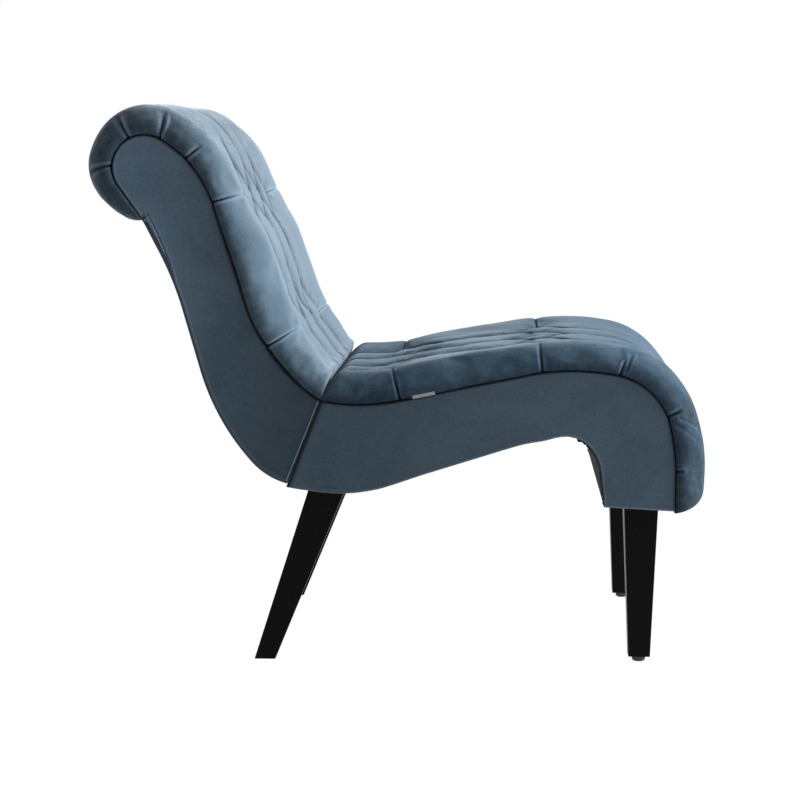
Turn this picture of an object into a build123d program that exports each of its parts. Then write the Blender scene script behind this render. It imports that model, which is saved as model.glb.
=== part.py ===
from build123d import *
import os
from math import atan2, cos, exp, hypot, radians, sin, sqrt

# An armless accent chair: a rolled back and a waterfall seat, each an upholstered plywood frame with a
# diamond tufted pad, bolted together along a slanted joint and carried on four tapered legs.
# +X is the front, +Y the sitter's left, +Z up; the origin is on the floor under the middle.

# Across the width
overall_width = 560.0
pad_bulge = 4.0
cover_thickness = 4.0
side_thickness = 18.0
pad_skirt = 6.0

# Layers and clearances
underlay_thickness = 2.4
lining_thickness = 1.0
rear_cover_thickness = 3.0
foam_thickness = 14.0
soft_clearance = 0.3
pad_clearance = 0.6
joint_gap = 0.8

# Joint between back and seat, from the crease on top to the heel underneath
crease_x = -107.5
crease_z = 365.0
joint_length = 120.0
joint_lean = 21.8

# Back edge seen from the side, from the crease up over the roll to the neck
lumbar_heading = 147.0
lumbar_radius = 250.0
lumbar_turn = 39.0
back_run = 141.0
shoulder_radius = 155.0
shoulder_turn = 42.0
roll_radius = 43.0
roll_turn = 155.0
neck_run = 55.0

# Rear edge of the back, from the heel up towards the neck
heel_heading = 165.0
heel_radius = 95.0
heel_turn = 33.0
spine_radius = 318.0
spine_turn = 26.0
spine_run = 84.0

# Seat edge seen from the side, from the crease to the plumb front
dip_heading = -13.0
dip_radius = 242.0
dip_turn = 24.5
seat_run = 185.0
crest_radius = 300.0
crest_turn = 23.5
nose_radius = 88.0
nose_turn = 63.0
front_radius = 280.0

# Underside of the seat, from the front foot over the arch to the heel
seat_base = 221.0
foot_depth = 96.0
arch_heading = 96.0
arch_rise = 50.0
arch_radius = 55.0
arch_turn = 101.5
arch_run = 222.0

# Tufting: rows counted from the crease, with four and three tufts by turns
tuft_pitch = 106.0
tuft_pinch = 3.0
first_row = 100.0
row_steps = (72.0, 94.0, 42.0, 46.0)
tuft_counts = (4, 3, 3, 4, 3)
pad_thickness = 44.0
back_crowns = (
    (0.0, 46.0),
    (104.0, 56.0),
    (160.0, 59.0),
    (220.0, 57.0),
    (312.0, 46.0),
    (400.0, 45.0),
    (467.0, 35.0),
    (535.0, 32.0),
    (596.0, 20.0),
)
seat_crowns = (
    (0.0, 40.0),
    (104.0, 44.0),
    (200.0, 44.0),
    (306.0, 41.0),
    (450.0, 37.0),
    (575.0, 44.0),
)
shoulder_height = 33.0
shoulder_inset = 14.0
lobe_height = 38.0
pleat_floor = 27.0
tuft_floor = 20.5
tuft_reach = 12.0
lobe_fullness = 0.3

# Gathers that draw the borders in, and the rounded ends of the pads
back_gathers = (104.0, 312.0, 366.0, 424.0, 467.0, 511.0)
seat_gathers = (104.0, 306.0, 411.0, 490.0, 575.0)
gather_depth = 6.0
gather_pull = 3.0
gather_reach = 7.0
gather_shoulder = 11.0
crease_round = 22.0
crease_share = 0.6
hem_round = 46.0
hem_share = 0.12
hem_overhang = 8.0
hem_sections = (0.08, 0.3, 0.6)
section_step = 24.0
tight_step = 9.0
tight_radius = 150.0

# Underlay: webbing straps across the open frame and bent boards round the roll and the nose
strap_width = 60.0
strap_count = 4
strap_first = 50.0
strap_last = 320.0
board_start = 352.0
hem_margin = 6.0
foam_hem_margin = 56.0
crease_margin = 10.0
rear_cover_margin = 4.0

# Frame rails and their dowels
rail_thickness = 22.0
joint_rail_height = 84.0
rail_height = 50.0
roll_rail_height = 40.0
front_rail_height = 60.0
rail_corner = 2.0
rail_margin = 4.0
dowel_radius = 4.0
dowel_clearance = 0.1
dowel_in_side = 12.0
dowel_in_rail = 16.0

# Bolts through the joint rails
joint_bolt_radius = 4.0
joint_bolt_rows = (-190.0, -70.0, 70.0, 190.0)
bolt_head_across = 13.0
bolt_head_height = 5.3
washer_radius = 8.5
washer_thickness = 1.6
nut_flange_radius = 10.0
nut_flange_thickness = 1.5
nut_barrel_radius = 5.0
nut_barrel_length = 9.0
bolt_clearance = 0.2
bolt_end = 2.0

# Legs, their blocks, bolts and glides
leg_setback = 24.0
front_leg_setback = 44.0
front_leg_top = 47.0
front_leg_foot = 30.0
rear_leg_setback = 57.0
rear_leg_top = 52.0
rear_leg_foot = 29.0
rear_leg_rake = 93.0
leg_edge = 2.0
block_width = 54.0
front_block_height = 38.0
front_block_length = 46.0
front_block_offset = -9.0
rear_block_height = 32.0
rear_block_length = 50.0
rear_block_offset = 7.0
hanger_radius = 4.0
hanger_in_leg = 40.0
glide_radius = 9.3
glide_height = 8.0
glide_chamfer = 2.0
glide_pin_radius = 2.0
glide_pin_length = 14.0

# Blind tuft ties: a toggle under the foam and a stem up to the pad
toggle_radius = 7.0
toggle_thickness = 2.0
stem_radius = 1.5
tie_clearance = 0.2

# Plain tag sewn into the seat seam
tag_start = 128.0
tag_length = 31.0
tag_height = 4.6
tag_inset = 1.35
tag_thickness = 0.8

half_width = overall_width / 2
cover_face = half_width - pad_bulge
side_face = cover_face - cover_thickness
side_inner = side_face - side_thickness
foam_half = cover_face - pad_skirt - soft_clearance
underlay_room = underlay_thickness + 2 * soft_clearance
lining_room = lining_thickness + 2 * soft_clearance
sides = (("left", 1), ("right", -1))


# An outline is a list of tangent runs (x, z, angle, length, bend), straight where the bend is zero.
def walk(start, heading, steps):
    """Runs from a start point: a step is (length, 0) for a straight or (radius, turn) for an arc."""
    x, z = start
    angle = radians(heading)
    runs = []
    for size, turn in steps:
        bend = radians(turn)
        length = size * abs(bend) if turn else size
        runs.append((x, z, angle, length, bend))
        x, z, angle = along(runs[-1], length)
    return runs


def along(run, distance):
    """Place and angle at a distance along one run."""
    x, z, angle, length, bend = run
    if not bend:
        return x + distance * cos(angle), z + distance * sin(angle), angle
    radius = length / bend
    end = angle + distance / radius
    return x + radius * (sin(end) - sin(angle)), z - radius * (cos(end) - cos(angle)), end


def reach(runs, target):
    """The runs with a last arc, tangent to them, that ends at a target point."""
    x, z, angle = along(runs[-1], runs[-1][3])
    dx, dz = target[0] - x, target[1] - z
    half = atan2(dz * cos(angle) - dx * sin(angle), dx * cos(angle) + dz * sin(angle))
    chord = hypot(dx, dz)
    length = chord * half / sin(half) if half else chord
    return runs + [(x, z, angle, length, 2 * half)]


def shifted(runs, shift):
    """Runs parallel to others, moved to their left."""
    return [
        (x - shift * sin(angle), z + shift * cos(angle), angle, length - shift * bend, bend)
        for x, z, angle, length, bend in runs
    ]


def total(runs):
    return sum(run[3] for run in runs)


def station(runs, distance):
    """Place and angle at a distance along an outline, which goes on straight past its end."""
    for run in runs:
        if distance <= run[3]:
            return along(run, distance)
        distance -= run[3]
    x, z, angle = along(runs[-1], runs[-1][3])
    return x + distance * cos(angle), z + distance * sin(angle), angle


def stretch(runs, first, last):
    """The part of an outline between two distances."""
    piece = []
    passed = 0.0
    for run in runs:
        low, high = max(first - passed, 0.0), min(last - passed, run[3])
        if high > low:
            x, z, angle = along(run, low)
            share = (high - low) / run[3]
            piece.append((x, z, angle, high - low, run[4] * share))
        passed += run[3]
    return piece


def end_of(runs):
    return along(runs[-1], runs[-1][3])[:2]


def draw(runs):
    """Draws the runs as lines and arcs."""
    for run in runs:
        first = along(run, 0.0)[:2]
        middle = along(run, run[3] / 2)[:2]
        last = along(run, run[3])[:2]
        if run[4]:
            ThreePointArc(first, middle, last)
        else:
            Line(first, last)


def draw_band(runs, near, far):
    """Draws the closed strip between two parallels of an outline."""
    inner, outer = shifted(runs, near), shifted(runs, far)
    draw(inner)
    draw(outer)
    Line(inner[0][:2], outer[0][:2])
    Line(end_of(inner), end_of(outer))


def side_plane(y):
    """Side view plane at a place across the chair, with X to the front and Z up."""
    return Plane.XZ.offset(-y)


def save(part, name):
    part.label = name
    export_step(part, f"parts/{name}.step")


os.makedirs("parts", exist_ok=True)

# Outlines: the joint, the back, its rear edge, the seat and its underside
crease = (crease_x, crease_z)
joint_up = (sin(radians(joint_lean)), cos(radians(joint_lean)))
joint_forward = (joint_up[1], -joint_up[0])
heel = (crease_x - joint_length * joint_up[0], crease_z - joint_length * joint_up[1])
back_heel = tuple(h - joint_gap / 2 * f for h, f in zip(heel, joint_forward))
seat_heel = tuple(h + joint_gap / 2 * f for h, f in zip(heel, joint_forward))

back_edge = walk(
    crease,
    lumbar_heading,
    (
        (lumbar_radius, -lumbar_turn),
        (back_run, 0),
        (shoulder_radius, shoulder_turn),
        (roll_radius, roll_turn),
        (neck_run, 0),
    ),
)
neck = end_of(back_edge)
rear_edge = reach(
    walk(
        back_heel,
        heel_heading,
        ((heel_radius, -heel_turn), (spine_radius, -spine_turn), (spine_run, 0)),
    ),
    neck,
)

front_turn = 90.0 + dip_heading + dip_turn - crest_turn - nose_turn
seat_curve = walk(
    crease,
    dip_heading,
    (
        (dip_radius, dip_turn),
        (seat_run, 0),
        (crest_radius, -crest_turn),
        (nose_radius, -nose_turn),
        (front_radius, -front_turn),
    ),
)
front_x, front_z = end_of(seat_curve)
seat_edge = seat_curve + walk((front_x, front_z), -90.0, ((front_z - seat_base, 0),))
foot_heel = (front_x - foot_depth, seat_base)
arch_edge = reach(
    walk(foot_heel, arch_heading, ((arch_rise, 0), (arch_radius, arch_turn), (arch_run, 0))),
    seat_heel,
)


def draw_back(top_inset, rear_inset):
    """Closed side outline of the back, set in from the pad seam and from the rear edge."""
    top = shifted(back_edge, top_inset)
    rear = shifted(rear_edge, -rear_inset)
    draw(top)
    draw(rear)
    Line(end_of(top), end_of(rear))
    Line(top[0][:2], rear[0][:2])


def draw_seat(top_inset, under_inset):
    """Closed side outline of the seat, set in from the pad seam and from the underside."""
    top = shifted(seat_edge[:-1], -top_inset)
    arch = shifted(arch_edge, -under_inset)
    base = seat_base + under_inset
    front = (end_of(top)[0], base)
    lead = base - arch[0][1]
    foot = (arch[0][0] + lead * cos(arch[0][2]) / sin(arch[0][2]), base)
    draw(top)
    Line(end_of(top), front)
    Line(front, foot)
    Line(foot, along(arch[0], arch[0][3])[:2])
    draw(arch[1:])
    Line(end_of(arch), top[0][:2])


# Rails: each is (x, z, angle, thickness, height) of a board across the frame
joint_angle = atan2(joint_forward[1], joint_forward[0])
joint_middle = tuple(h + joint_length / 2 * u for h, u in zip(heel, joint_up))
rail_set = joint_gap / 2 + rail_thickness / 2


def joint_rail(direction):
    x, z = (m + direction * rail_set * f for m, f in zip(joint_middle, joint_forward))
    return x, z, joint_angle, rail_thickness, joint_rail_height


def inner_rail(runs, distance, depth, height):
    """A rail at a depth under an outline; a positive depth is to its left."""
    x, z, angle = station(runs, distance)
    return x - depth * sin(angle), z + depth * cos(angle), angle, height, rail_thickness


roll_start = total(back_edge[:3])
neck_start = total(back_edge[:2])
nose_start = total(seat_curve[:3])
under_depth = underlay_room + rail_margin + rail_thickness / 2
back_rails = {
    "back_bottom_rail": joint_rail(-1),
    "back_waist_rail": inner_rail(back_edge, total(back_edge[:1]), under_depth, rail_height),
    "back_neck_rail": inner_rail(back_edge, neck_start, under_depth, rail_height),
    "back_roll_rail": inner_rail(back_edge, roll_start + roll_radius, roll_radius, roll_rail_height),
}
front_rail_x = front_x - underlay_room - rail_margin - rail_thickness / 2
front_rail_z = seat_base + lining_room + rail_margin + front_rail_height / 2
seat_rails = {
    "seat_rear_rail": joint_rail(1),
    "seat_cross_rail": inner_rail(seat_edge, total(seat_edge[:1]) + seat_run / 2, -under_depth, rail_height),
    "seat_nose_rail": inner_rail(seat_edge, nose_start + rail_height / 2, -under_depth, rail_height),
    "seat_front_rail": (front_rail_x, front_rail_z, 0.0, rail_thickness, front_rail_height),
}


def rail_plane(rail):
    x, z, angle = rail[:3]
    return Plane(origin=(x, 0, z), x_dir=(cos(angle), 0, sin(angle)), z_dir=(0, -1, 0))


def dowel_points(rails):
    """Side view places of the dowels, two to a rail end along its longer side."""
    points = []
    for x, z, angle, thickness, height in rails.values():
        reach_out = max(thickness, height) / 4
        lean = angle if thickness > height else angle + radians(90)
        for way in (-1, 1):
            points.append((x + way * reach_out * cos(lean), z + way * reach_out * sin(lean)))
    return points


back_dowels = dowel_points(back_rails)
seat_dowels = dowel_points(seat_rails)
joint_plane = Plane(
    origin=(joint_middle[0], 0, joint_middle[1]),
    x_dir=(0, 1, 0),
    z_dir=(joint_forward[0], 0, joint_forward[1]),
)
bolt_spots = [(row, 0) for row in joint_bolt_rows]

# Plywood sides of the back and the seat, drilled for the rail dowels
for frame_name, draw_side, inset, dowels in (
    ("back_side_frame", draw_back, 0.0, back_dowels),
    ("seat_side_frame", draw_seat, lining_room, seat_dowels),
):
    for side, sign in sides:
        with BuildPart() as side_frame:
            with BuildSketch(side_plane(sign * side_inner)):
                with BuildLine():
                    draw_side(underlay_room, inset)
                make_face()
            extrude(amount=-sign * side_thickness)
            with BuildSketch(side_plane(sign * side_inner)):
                with Locations(*dowels):
                    Circle(dowel_radius + dowel_clearance)
            extrude(amount=-sign * dowel_in_side, mode=Mode.SUBTRACT)
        save(side_frame.part, f"{frame_name}_{side}")

# Rails between the sides, with dowel holes in both ends and bolt holes in the two joint rails
for rail_name, rail in {**back_rails, **seat_rails}.items():
    thickness, height = rail[3:]
    with BuildPart() as frame_rail:
        with BuildSketch(rail_plane(rail)):
            RectangleRounded(thickness, height, rail_corner)
        extrude(amount=side_inner, both=True)
        for way in (-1, 1):
            with BuildSketch(side_plane(way * side_inner)):
                with Locations(*dowel_points({rail_name: rail})):
                    Circle(dowel_radius + dowel_clearance)
            extrude(amount=way * dowel_in_rail, mode=Mode.SUBTRACT)
        if rail_name == "seat_rear_rail":
            with BuildSketch(joint_plane):
                with Locations(*bolt_spots):
                    Circle(joint_bolt_radius + bolt_clearance)
            extrude(amount=2 * rail_thickness, mode=Mode.SUBTRACT)
        if rail_name == "back_bottom_rail":
            with BuildSketch(joint_plane):
                with Locations(*bolt_spots):
                    Circle(nut_barrel_radius + bolt_clearance)
            extrude(amount=-2 * rail_thickness, mode=Mode.SUBTRACT)
    save(frame_rail.part, rail_name)

# Dowels, one group for each frame
dowel_length = dowel_in_side + dowel_in_rail - 2 * dowel_clearance
for dowel_name, dowels in (("back_frame_dowels", back_dowels), ("seat_frame_dowels", seat_dowels)):
    with BuildPart() as frame_dowels:
        for way in (-1, 1):
            with BuildSketch(side_plane(way * (side_inner + dowel_in_side - dowel_clearance))):
                with Locations(*dowels):
                    Circle(dowel_radius)
            extrude(amount=way * dowel_length)
    save(frame_dowels.part, dowel_name)

# Bolts, washers and flanged nuts that draw the back to the seat
bolt_face = joint_gap / 2 + rail_thickness
with BuildPart() as joint_bolts:
    with BuildSketch(joint_plane.offset(bolt_face + washer_thickness)):
        with Locations(*bolt_spots):
            RegularPolygon(bolt_head_across / 2, 6, major_radius=False)
    extrude(amount=bolt_head_height)
    with BuildSketch(joint_plane.offset(bolt_face + washer_thickness)):
        with Locations(*bolt_spots):
            Circle(joint_bolt_radius)
    extrude(amount=-(2 * bolt_face + washer_thickness + nut_flange_thickness + bolt_end))
save(joint_bolts.part, "joint_bolts")

with BuildPart() as joint_washers:
    with BuildSketch(joint_plane.offset(bolt_face)):
        with Locations(*bolt_spots):
            Circle(washer_radius)
            Circle(joint_bolt_radius + bolt_clearance, mode=Mode.SUBTRACT)
    extrude(amount=washer_thickness)
save(joint_washers.part, "joint_washers")

with BuildPart() as joint_nuts:
    with BuildSketch(joint_plane.offset(-bolt_face)):
        with Locations(*bolt_spots):
            Circle(nut_flange_radius)
            Circle(joint_bolt_radius + bolt_clearance / 2, mode=Mode.SUBTRACT)
    extrude(amount=-nut_flange_thickness)
    with BuildSketch(joint_plane.offset(-bolt_face)):
        with Locations(*bolt_spots):
            Circle(nut_barrel_radius)
            Circle(joint_bolt_radius + bolt_clearance / 2, mode=Mode.SUBTRACT)
    extrude(amount=nut_barrel_length)
save(joint_nuts.part, "joint_nuts")

# Webbing straps across the open part of each frame, and a bent board round the roll and the nose
strap_gap = (strap_last - strap_first - strap_width) / (strap_count - 1)
for webbing_name, board_name, edge, outward in (
    ("back_webbing", "back_roll_board", back_edge, -1),
    ("seat_webbing", "seat_nose_board", seat_edge, 1),
):
    outer = -outward * soft_clearance
    inner = -outward * (soft_clearance + underlay_thickness)
    with BuildPart() as webbing:
        for strap in range(strap_count):
            low = strap_first + strap * strap_gap
            with BuildSketch(side_plane(0)):
                with BuildLine():
                    draw_band(stretch(edge, low, low + strap_width), outer, inner)
                make_face()
            extrude(amount=side_face, both=True)
    save(webbing.part, webbing_name)
    with BuildPart() as bent_board:
        with BuildSketch(side_plane(0)):
            with BuildLine():
                draw_band(stretch(edge, board_start, total(edge) - hem_margin), outer, inner)
            make_face()
        extrude(amount=side_face, both=True)
    save(bent_board.part, board_name)

# Tuft rows: the valley lines between the lobes swing from row to row
row_places = [first_row + sum(row_steps[:row]) for row in range(len(tuft_counts))]


def row_lines(tufts):
    """Places across the pad of the six valley lines at a row of four or three tufts."""
    if tufts == 4:
        spots = ((-1.5, 0), (-0.5, -1), (-0.5, 1), (0.5, -1), (0.5, 1), (1.5, 0))
    else:
        spots = ((-1, -1), (-1, 1), (0, -1), (0, 1), (1, -1), (1, 1))
    return [pitches * tuft_pitch + way * tuft_pinch for pitches, way in spots]


def tuft_spots(tufts):
    return [(spot - (tufts - 1) / 2) * tuft_pitch for spot in range(tufts)]


def valley_lines(distance):
    """The valley lines at a distance from the crease, straight outside the first and last rows."""
    if distance <= row_places[0]:
        return row_lines(tuft_counts[0])
    for row in range(len(row_places) - 1):
        low, high = row_places[row], row_places[row + 1]
        if distance <= high:
            share = (distance - low) / (high - low)
            pair = zip(row_lines(tuft_counts[row]), row_lines(tuft_counts[row + 1]))
            return [near + share * (far - near) for near, far in pair]
    return row_lines(tuft_counts[-1])


def nearness(distance, places, spread):
    """One at any of the places, falling off to nothing beyond the spread."""
    return max(exp(-(((distance - place) / spread) ** 2)) for place in places)


def rounded(distance, spread, share):
    """Share of the full height near an end that is rounded over."""
    inside = max(0.0, 1.0 - distance / spread)
    return share + (1.0 - share) * sqrt(1.0 - inside**2)


def crown_height(distance, crowns):
    """Height of the borders at a distance from the crease, between those of a list of crowns."""
    for (low, before), (high, after) in zip(crowns, crowns[1:]):
        if distance <= high:
            return before + (after - before) * (distance - low) / (high - low)
    return crowns[-1][1]


def draw_pad(distance, length, gathers, crowns):
    """Closed section of a tufted pad: a skirt down each side, two borders and five lobes."""
    gather = nearness(distance, gathers, gather_reach)
    roof = foam_thickness + pad_clearance
    skin = roof + (tuft_floor - roof) / 2
    full = (crown_height(distance, crowns) - skin) / (pad_thickness - skin)
    full *= rounded(distance, crease_round, crease_share)
    full *= rounded(length - distance, hem_round, hem_share)

    def level(height):
        return skin + (height - skin) * full

    floor = level(pleat_floor - (pleat_floor - tuft_floor) * nearness(distance, row_places, tuft_reach))
    lines = valley_lines(distance)
    recess = foam_half + soft_clearance
    drop = gather_depth * gather
    shoulder = (half_width - shoulder_inset - gather_pull * gather, level(shoulder_height - drop))
    crown = level(pad_thickness - drop)
    for way in (-1, 1):
        hem = (way * cover_face, soft_clearance)
        valley = (lines[-1] * way, floor)
        Line((way * recess, roof), (way * recess, soft_clearance))
        Line((way * recess, soft_clearance), hem)
        side = (way * (half_width - gather_pull * gather), shoulder[1] / 2)
        ThreePointArc(hem, side, (way * shoulder[0], shoulder[1]))
        ThreePointArc((way * shoulder[0], shoulder[1]), (way * (shoulder[0] + lines[-1]) / 2, crown), valley)
    Line((-recess, roof), (recess, roof))
    for near, far in zip(lines, lines[1:]):
        width = far - near
        rise = min((level(lobe_height) - floor) * sqrt(width / tuft_pitch), lobe_fullness * width)
        ThreePointArc((near, floor), ((near + far) / 2, floor + rise), (far, floor))


def pad_places(runs, length, gathers):
    """Distances of the sections: rows and their midpoints, gathers and their shoulders, then a fill."""
    places = {0.0, crease_round / 2, crease_round, length}
    places.update(length - hem_round * share for share in hem_sections)
    places.update(row_places)
    places.update((low + high) / 2 for low, high in zip(row_places, row_places[1:]))
    places.update(gathers)
    for gather in gathers:
        places.update((gather - gather_shoulder, gather + gather_shoulder))
    kept = []
    for place in sorted(places):
        if 0.0 <= place <= length and (not kept or place - kept[-1] > tight_step / 3):
            kept.append(place)
    kept[-1] = length
    filled = []
    for low, high in zip(kept, kept[1:]):
        bend = abs(station(runs, high)[2] - station(runs, low)[2])
        tight = bend and (high - low) / bend < tight_radius
        count = int((high - low) / (tight_step if tight else section_step)) + 1
        filled += [low + (high - low) * part / count for part in range(count)]
    return filled + [length]


# Foam slabs with pockets for the tuft ties, the ties, and the tufted pads over them
for pad_set, edge, outward, mitre, gathers, crowns, overhang in (
    ("back", back_edge, -1, joint_angle + radians(180), back_gathers, back_crowns, 0.0),
    ("seat", seat_edge, 1, joint_angle, seat_gathers, seat_crowns, hem_overhang),
):

    def across(distance, angle=None):
        """Section plane square to an outline, its Y pointing out of the frame."""
        x, z, heading = station(edge, distance)
        lean = heading if angle is None else angle
        return Plane(origin=(x, 0, z), x_dir=(0, outward, 0), z_dir=(cos(lean), 0, sin(lean)))

    def facing(distance, spot, height):
        """Plane parallel to the pad, over one tuft and at a height above the seam."""
        x, z, heading = station(edge, distance)
        out = (-outward * sin(heading), 0, outward * cos(heading))
        origin = (x + height * out[0], spot, z + height * out[2])
        return Plane(origin=origin, x_dir=(0, 1, 0), z_dir=out)

    tufts = [
        (place, spot)
        for place, count in zip(row_places, tuft_counts)
        for spot in tuft_spots(count)
    ]
    foam_floor = outward * soft_clearance
    foam_runs = stretch(edge, crease_margin, total(edge) - foam_hem_margin)
    with BuildPart() as foam:
        with BuildSketch(side_plane(0)):
            with BuildLine():
                draw_band(foam_runs, foam_floor, outward * foam_thickness)
            make_face()
        extrude(amount=foam_half, both=True)
        for place, spot in tufts:
            with BuildSketch(facing(place, spot, 0)):
                Circle(stem_radius + tie_clearance)
            extrude(amount=foam_thickness + pad_clearance, mode=Mode.SUBTRACT)
            with BuildSketch(facing(place, spot, 0)):
                Circle(toggle_radius + tie_clearance)
            extrude(amount=2 * soft_clearance + toggle_thickness + tie_clearance, mode=Mode.SUBTRACT)
    save(foam.part, f"{pad_set}_foam")

    with BuildPart() as ties:
        for place, spot in tufts:
            with BuildSketch(facing(place, spot, 2 * soft_clearance)):
                Circle(toggle_radius)
            extrude(amount=toggle_thickness)
            with BuildSketch(facing(place, spot, 2 * soft_clearance)):
                Circle(stem_radius)
            extrude(amount=foam_thickness - 2 * soft_clearance)
    save(ties.part, f"{pad_set}_tuft_ties")

    length = total(edge) + overhang
    with BuildPart() as tufted_pad:
        for place in pad_places(edge, length, gathers):
            plane = across(place)
            if place == 0.0:
                plane = across(0.0, mitre).offset(joint_gap / 2)
            with BuildSketch(plane):
                with BuildLine():
                    draw_pad(place, length, gathers, crowns)
                make_face()
        loft(ruled=True)
    save(tufted_pad.part, f"{pad_set}_tufted_pad")

# Velvet side covers over the plywood, the rear cover of the back and the lining under the seat
for cover_name, draw_side in (("back_side_cover", draw_back), ("seat_side_cover", draw_seat)):
    for side, sign in sides:
        with BuildPart() as side_cover:
            with BuildSketch(side_plane(sign * side_face)):
                with BuildLine():
                    draw_side(soft_clearance, 0.0)
                make_face()
            extrude(amount=-sign * cover_thickness)
        save(side_cover.part, f"{cover_name}_{side}")

with BuildPart() as back_rear_cover:
    with BuildSketch(side_plane(0)):
        with BuildLine():
            draw_band(
                stretch(rear_edge, 0.0, total(rear_edge) - rear_cover_margin),
                soft_clearance,
                soft_clearance + rear_cover_thickness,
            )
        make_face()
    extrude(amount=cover_face, both=True)
save(back_rear_cover.part, "back_rear_cover")

front_leg_x = front_x - front_leg_setback
rear_leg_x = heel[0] + rear_leg_setback
leg_y = cover_face - leg_setback - front_leg_top / 2
leg_spots = [(x, way * leg_y) for x in (front_leg_x, rear_leg_x) for way in (-1, 1)]
lining_top = -(soft_clearance + lining_thickness)
foot_lining = foot_depth - underlay_room
with BuildPart() as underside_lining:
    with BuildSketch(side_plane(0)):
        with BuildLine():
            draw_band(arch_edge, -soft_clearance, lining_top)
        make_face()
        with Locations((foot_heel[0] + soft_clearance, seat_base + soft_clearance)):
            Rectangle(foot_lining, lining_thickness, align=(Align.MIN, Align.MIN))
    extrude(amount=side_face - soft_clearance, both=True)
    with BuildSketch(Plane.XY):
        with Locations(*leg_spots):
            Circle(hanger_radius + bolt_clearance)
    extrude(amount=crease_z, mode=Mode.SUBTRACT)
save(underside_lining.part, "underside_lining")

# Corner blocks for the legs, cut to the underside of the frame
leg_seat = seat_base + soft_clearance
front_block_top = seat_base + lining_room + front_block_height
rear_block_top = heel[1] + rear_block_height
for block_name, leg_x, block_length, offset_ahead, block_top in (
    ("front_leg_block", front_leg_x, front_block_length, front_block_offset, front_block_top),
    ("rear_leg_block", rear_leg_x, rear_block_length, rear_block_offset, rear_block_top),
):
    for side, sign in sides:
        with BuildPart() as leg_block:
            with BuildSketch(side_plane(sign * side_inner)):
                with BuildLine():
                    draw_seat(underlay_room, lining_room)
                make_face()
            extrude(amount=sign * block_width)
            middle = (leg_x + offset_ahead, sign * (side_inner - block_width / 2))
            with BuildSketch(Plane.XY):
                with Locations(middle):
                    Rectangle(block_length, block_width)
            extrude(amount=block_top, mode=Mode.INTERSECT)
            with BuildSketch(Plane.XY):
                with Locations((leg_x, sign * leg_y)):
                    Circle(nut_barrel_radius + bolt_clearance)
            extrude(amount=crease_z, mode=Mode.SUBTRACT)
        save(leg_block.part, f"{block_name}_{side}")

# Tapered legs with a hole for the hanger bolt
for side, sign in sides:
    with BuildPart() as front_leg:
        for height, width in ((glide_height, front_leg_foot), (leg_seat, front_leg_top)):
            with BuildSketch(Plane.XY.offset(height)):
                with Locations((front_leg_x, sign * leg_y)):
                    RectangleRounded(width, width, leg_edge)
        loft()
        with BuildSketch(Plane.XY.offset(leg_seat)):
            with Locations((front_leg_x, sign * leg_y)):
                Circle(hanger_radius + bolt_clearance / 2)
        extrude(amount=-hanger_in_leg, mode=Mode.SUBTRACT)
        with BuildSketch(Plane.XY.offset(glide_height)):
            with Locations((front_leg_x, sign * leg_y)):
                Circle(glide_pin_radius + bolt_clearance / 2)
        extrude(amount=glide_pin_length, mode=Mode.SUBTRACT)
    save(front_leg.part, f"front_leg_{side}")

rear_top = heel[1]
for side, sign in sides:
    with BuildPart() as rear_leg:
        for height, width, rake in ((0.0, rear_leg_foot, rear_leg_rake), (rear_top, rear_leg_top, 0.0)):
            with BuildSketch(Plane.XY.offset(height)):
                with Locations((rear_leg_x - rake, sign * leg_y)):
                    RectangleRounded(width, width, leg_edge)
        loft()
        with BuildSketch(side_plane(0)):
            with BuildLine():
                ceiling = shifted(arch_edge[1:], -soft_clearance / 3)
                draw(ceiling)
                Line(ceiling[0][:2], (ceiling[0][0], crease_z))
                Line((ceiling[0][0], crease_z), (end_of(ceiling)[0], crease_z))
                Line((end_of(ceiling)[0], crease_z), end_of(ceiling))
            make_face()
        extrude(amount=half_width, both=True, mode=Mode.SUBTRACT)
        with BuildSketch(Plane.XY.offset(rear_top)):
            with Locations((rear_leg_x, sign * leg_y)):
                Circle(hanger_radius + bolt_clearance / 2)
        extrude(amount=-hanger_in_leg, mode=Mode.SUBTRACT)
    save(rear_leg.part, f"rear_leg_{side}")

# Hanger bolts up through the lining into flanged nuts on the blocks
leg_stacks = (
    (front_leg_x, leg_seat - hanger_in_leg, front_block_top),
    (rear_leg_x, rear_top - hanger_in_leg, rear_block_top),
)
with BuildPart() as leg_hanger_bolts:
    for leg_x, low, top in leg_stacks:
        with BuildSketch(Plane.XY.offset(low + bolt_clearance)):
            with Locations((leg_x, leg_y), (leg_x, -leg_y)):
                Circle(hanger_radius)
        extrude(amount=top + nut_flange_thickness + bolt_end - low - bolt_clearance)
save(leg_hanger_bolts.part, "leg_hanger_bolts")

with BuildPart() as leg_nuts:
    for leg_x, low, top in leg_stacks:
        for radius, depth in (
            (nut_flange_radius, nut_flange_thickness),
            (nut_barrel_radius, -nut_barrel_length),
        ):
            with BuildSketch(Plane.XY.offset(top)):
                with Locations((leg_x, leg_y), (leg_x, -leg_y)):
                    Circle(radius)
                    Circle(hanger_radius + bolt_clearance / 2, mode=Mode.SUBTRACT)
            extrude(amount=depth)
save(leg_nuts.part, "leg_nuts")

# Round glides nailed under the front legs
with BuildPart() as front_glides:
    with BuildSketch(Plane.XY):
        with Locations((front_leg_x, leg_y), (front_leg_x, -leg_y)):
            Circle(glide_radius)
    extrude(amount=glide_height)
    chamfer(front_glides.edges().group_by(Axis.Z)[0], glide_chamfer)
    with BuildSketch(Plane.XY.offset(glide_height)):
        with Locations((front_leg_x, leg_y), (front_leg_x, -leg_y)):
            Circle(glide_pin_radius)
    extrude(amount=glide_pin_length - bolt_clearance)
save(front_glides.part, "front_glides")

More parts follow.
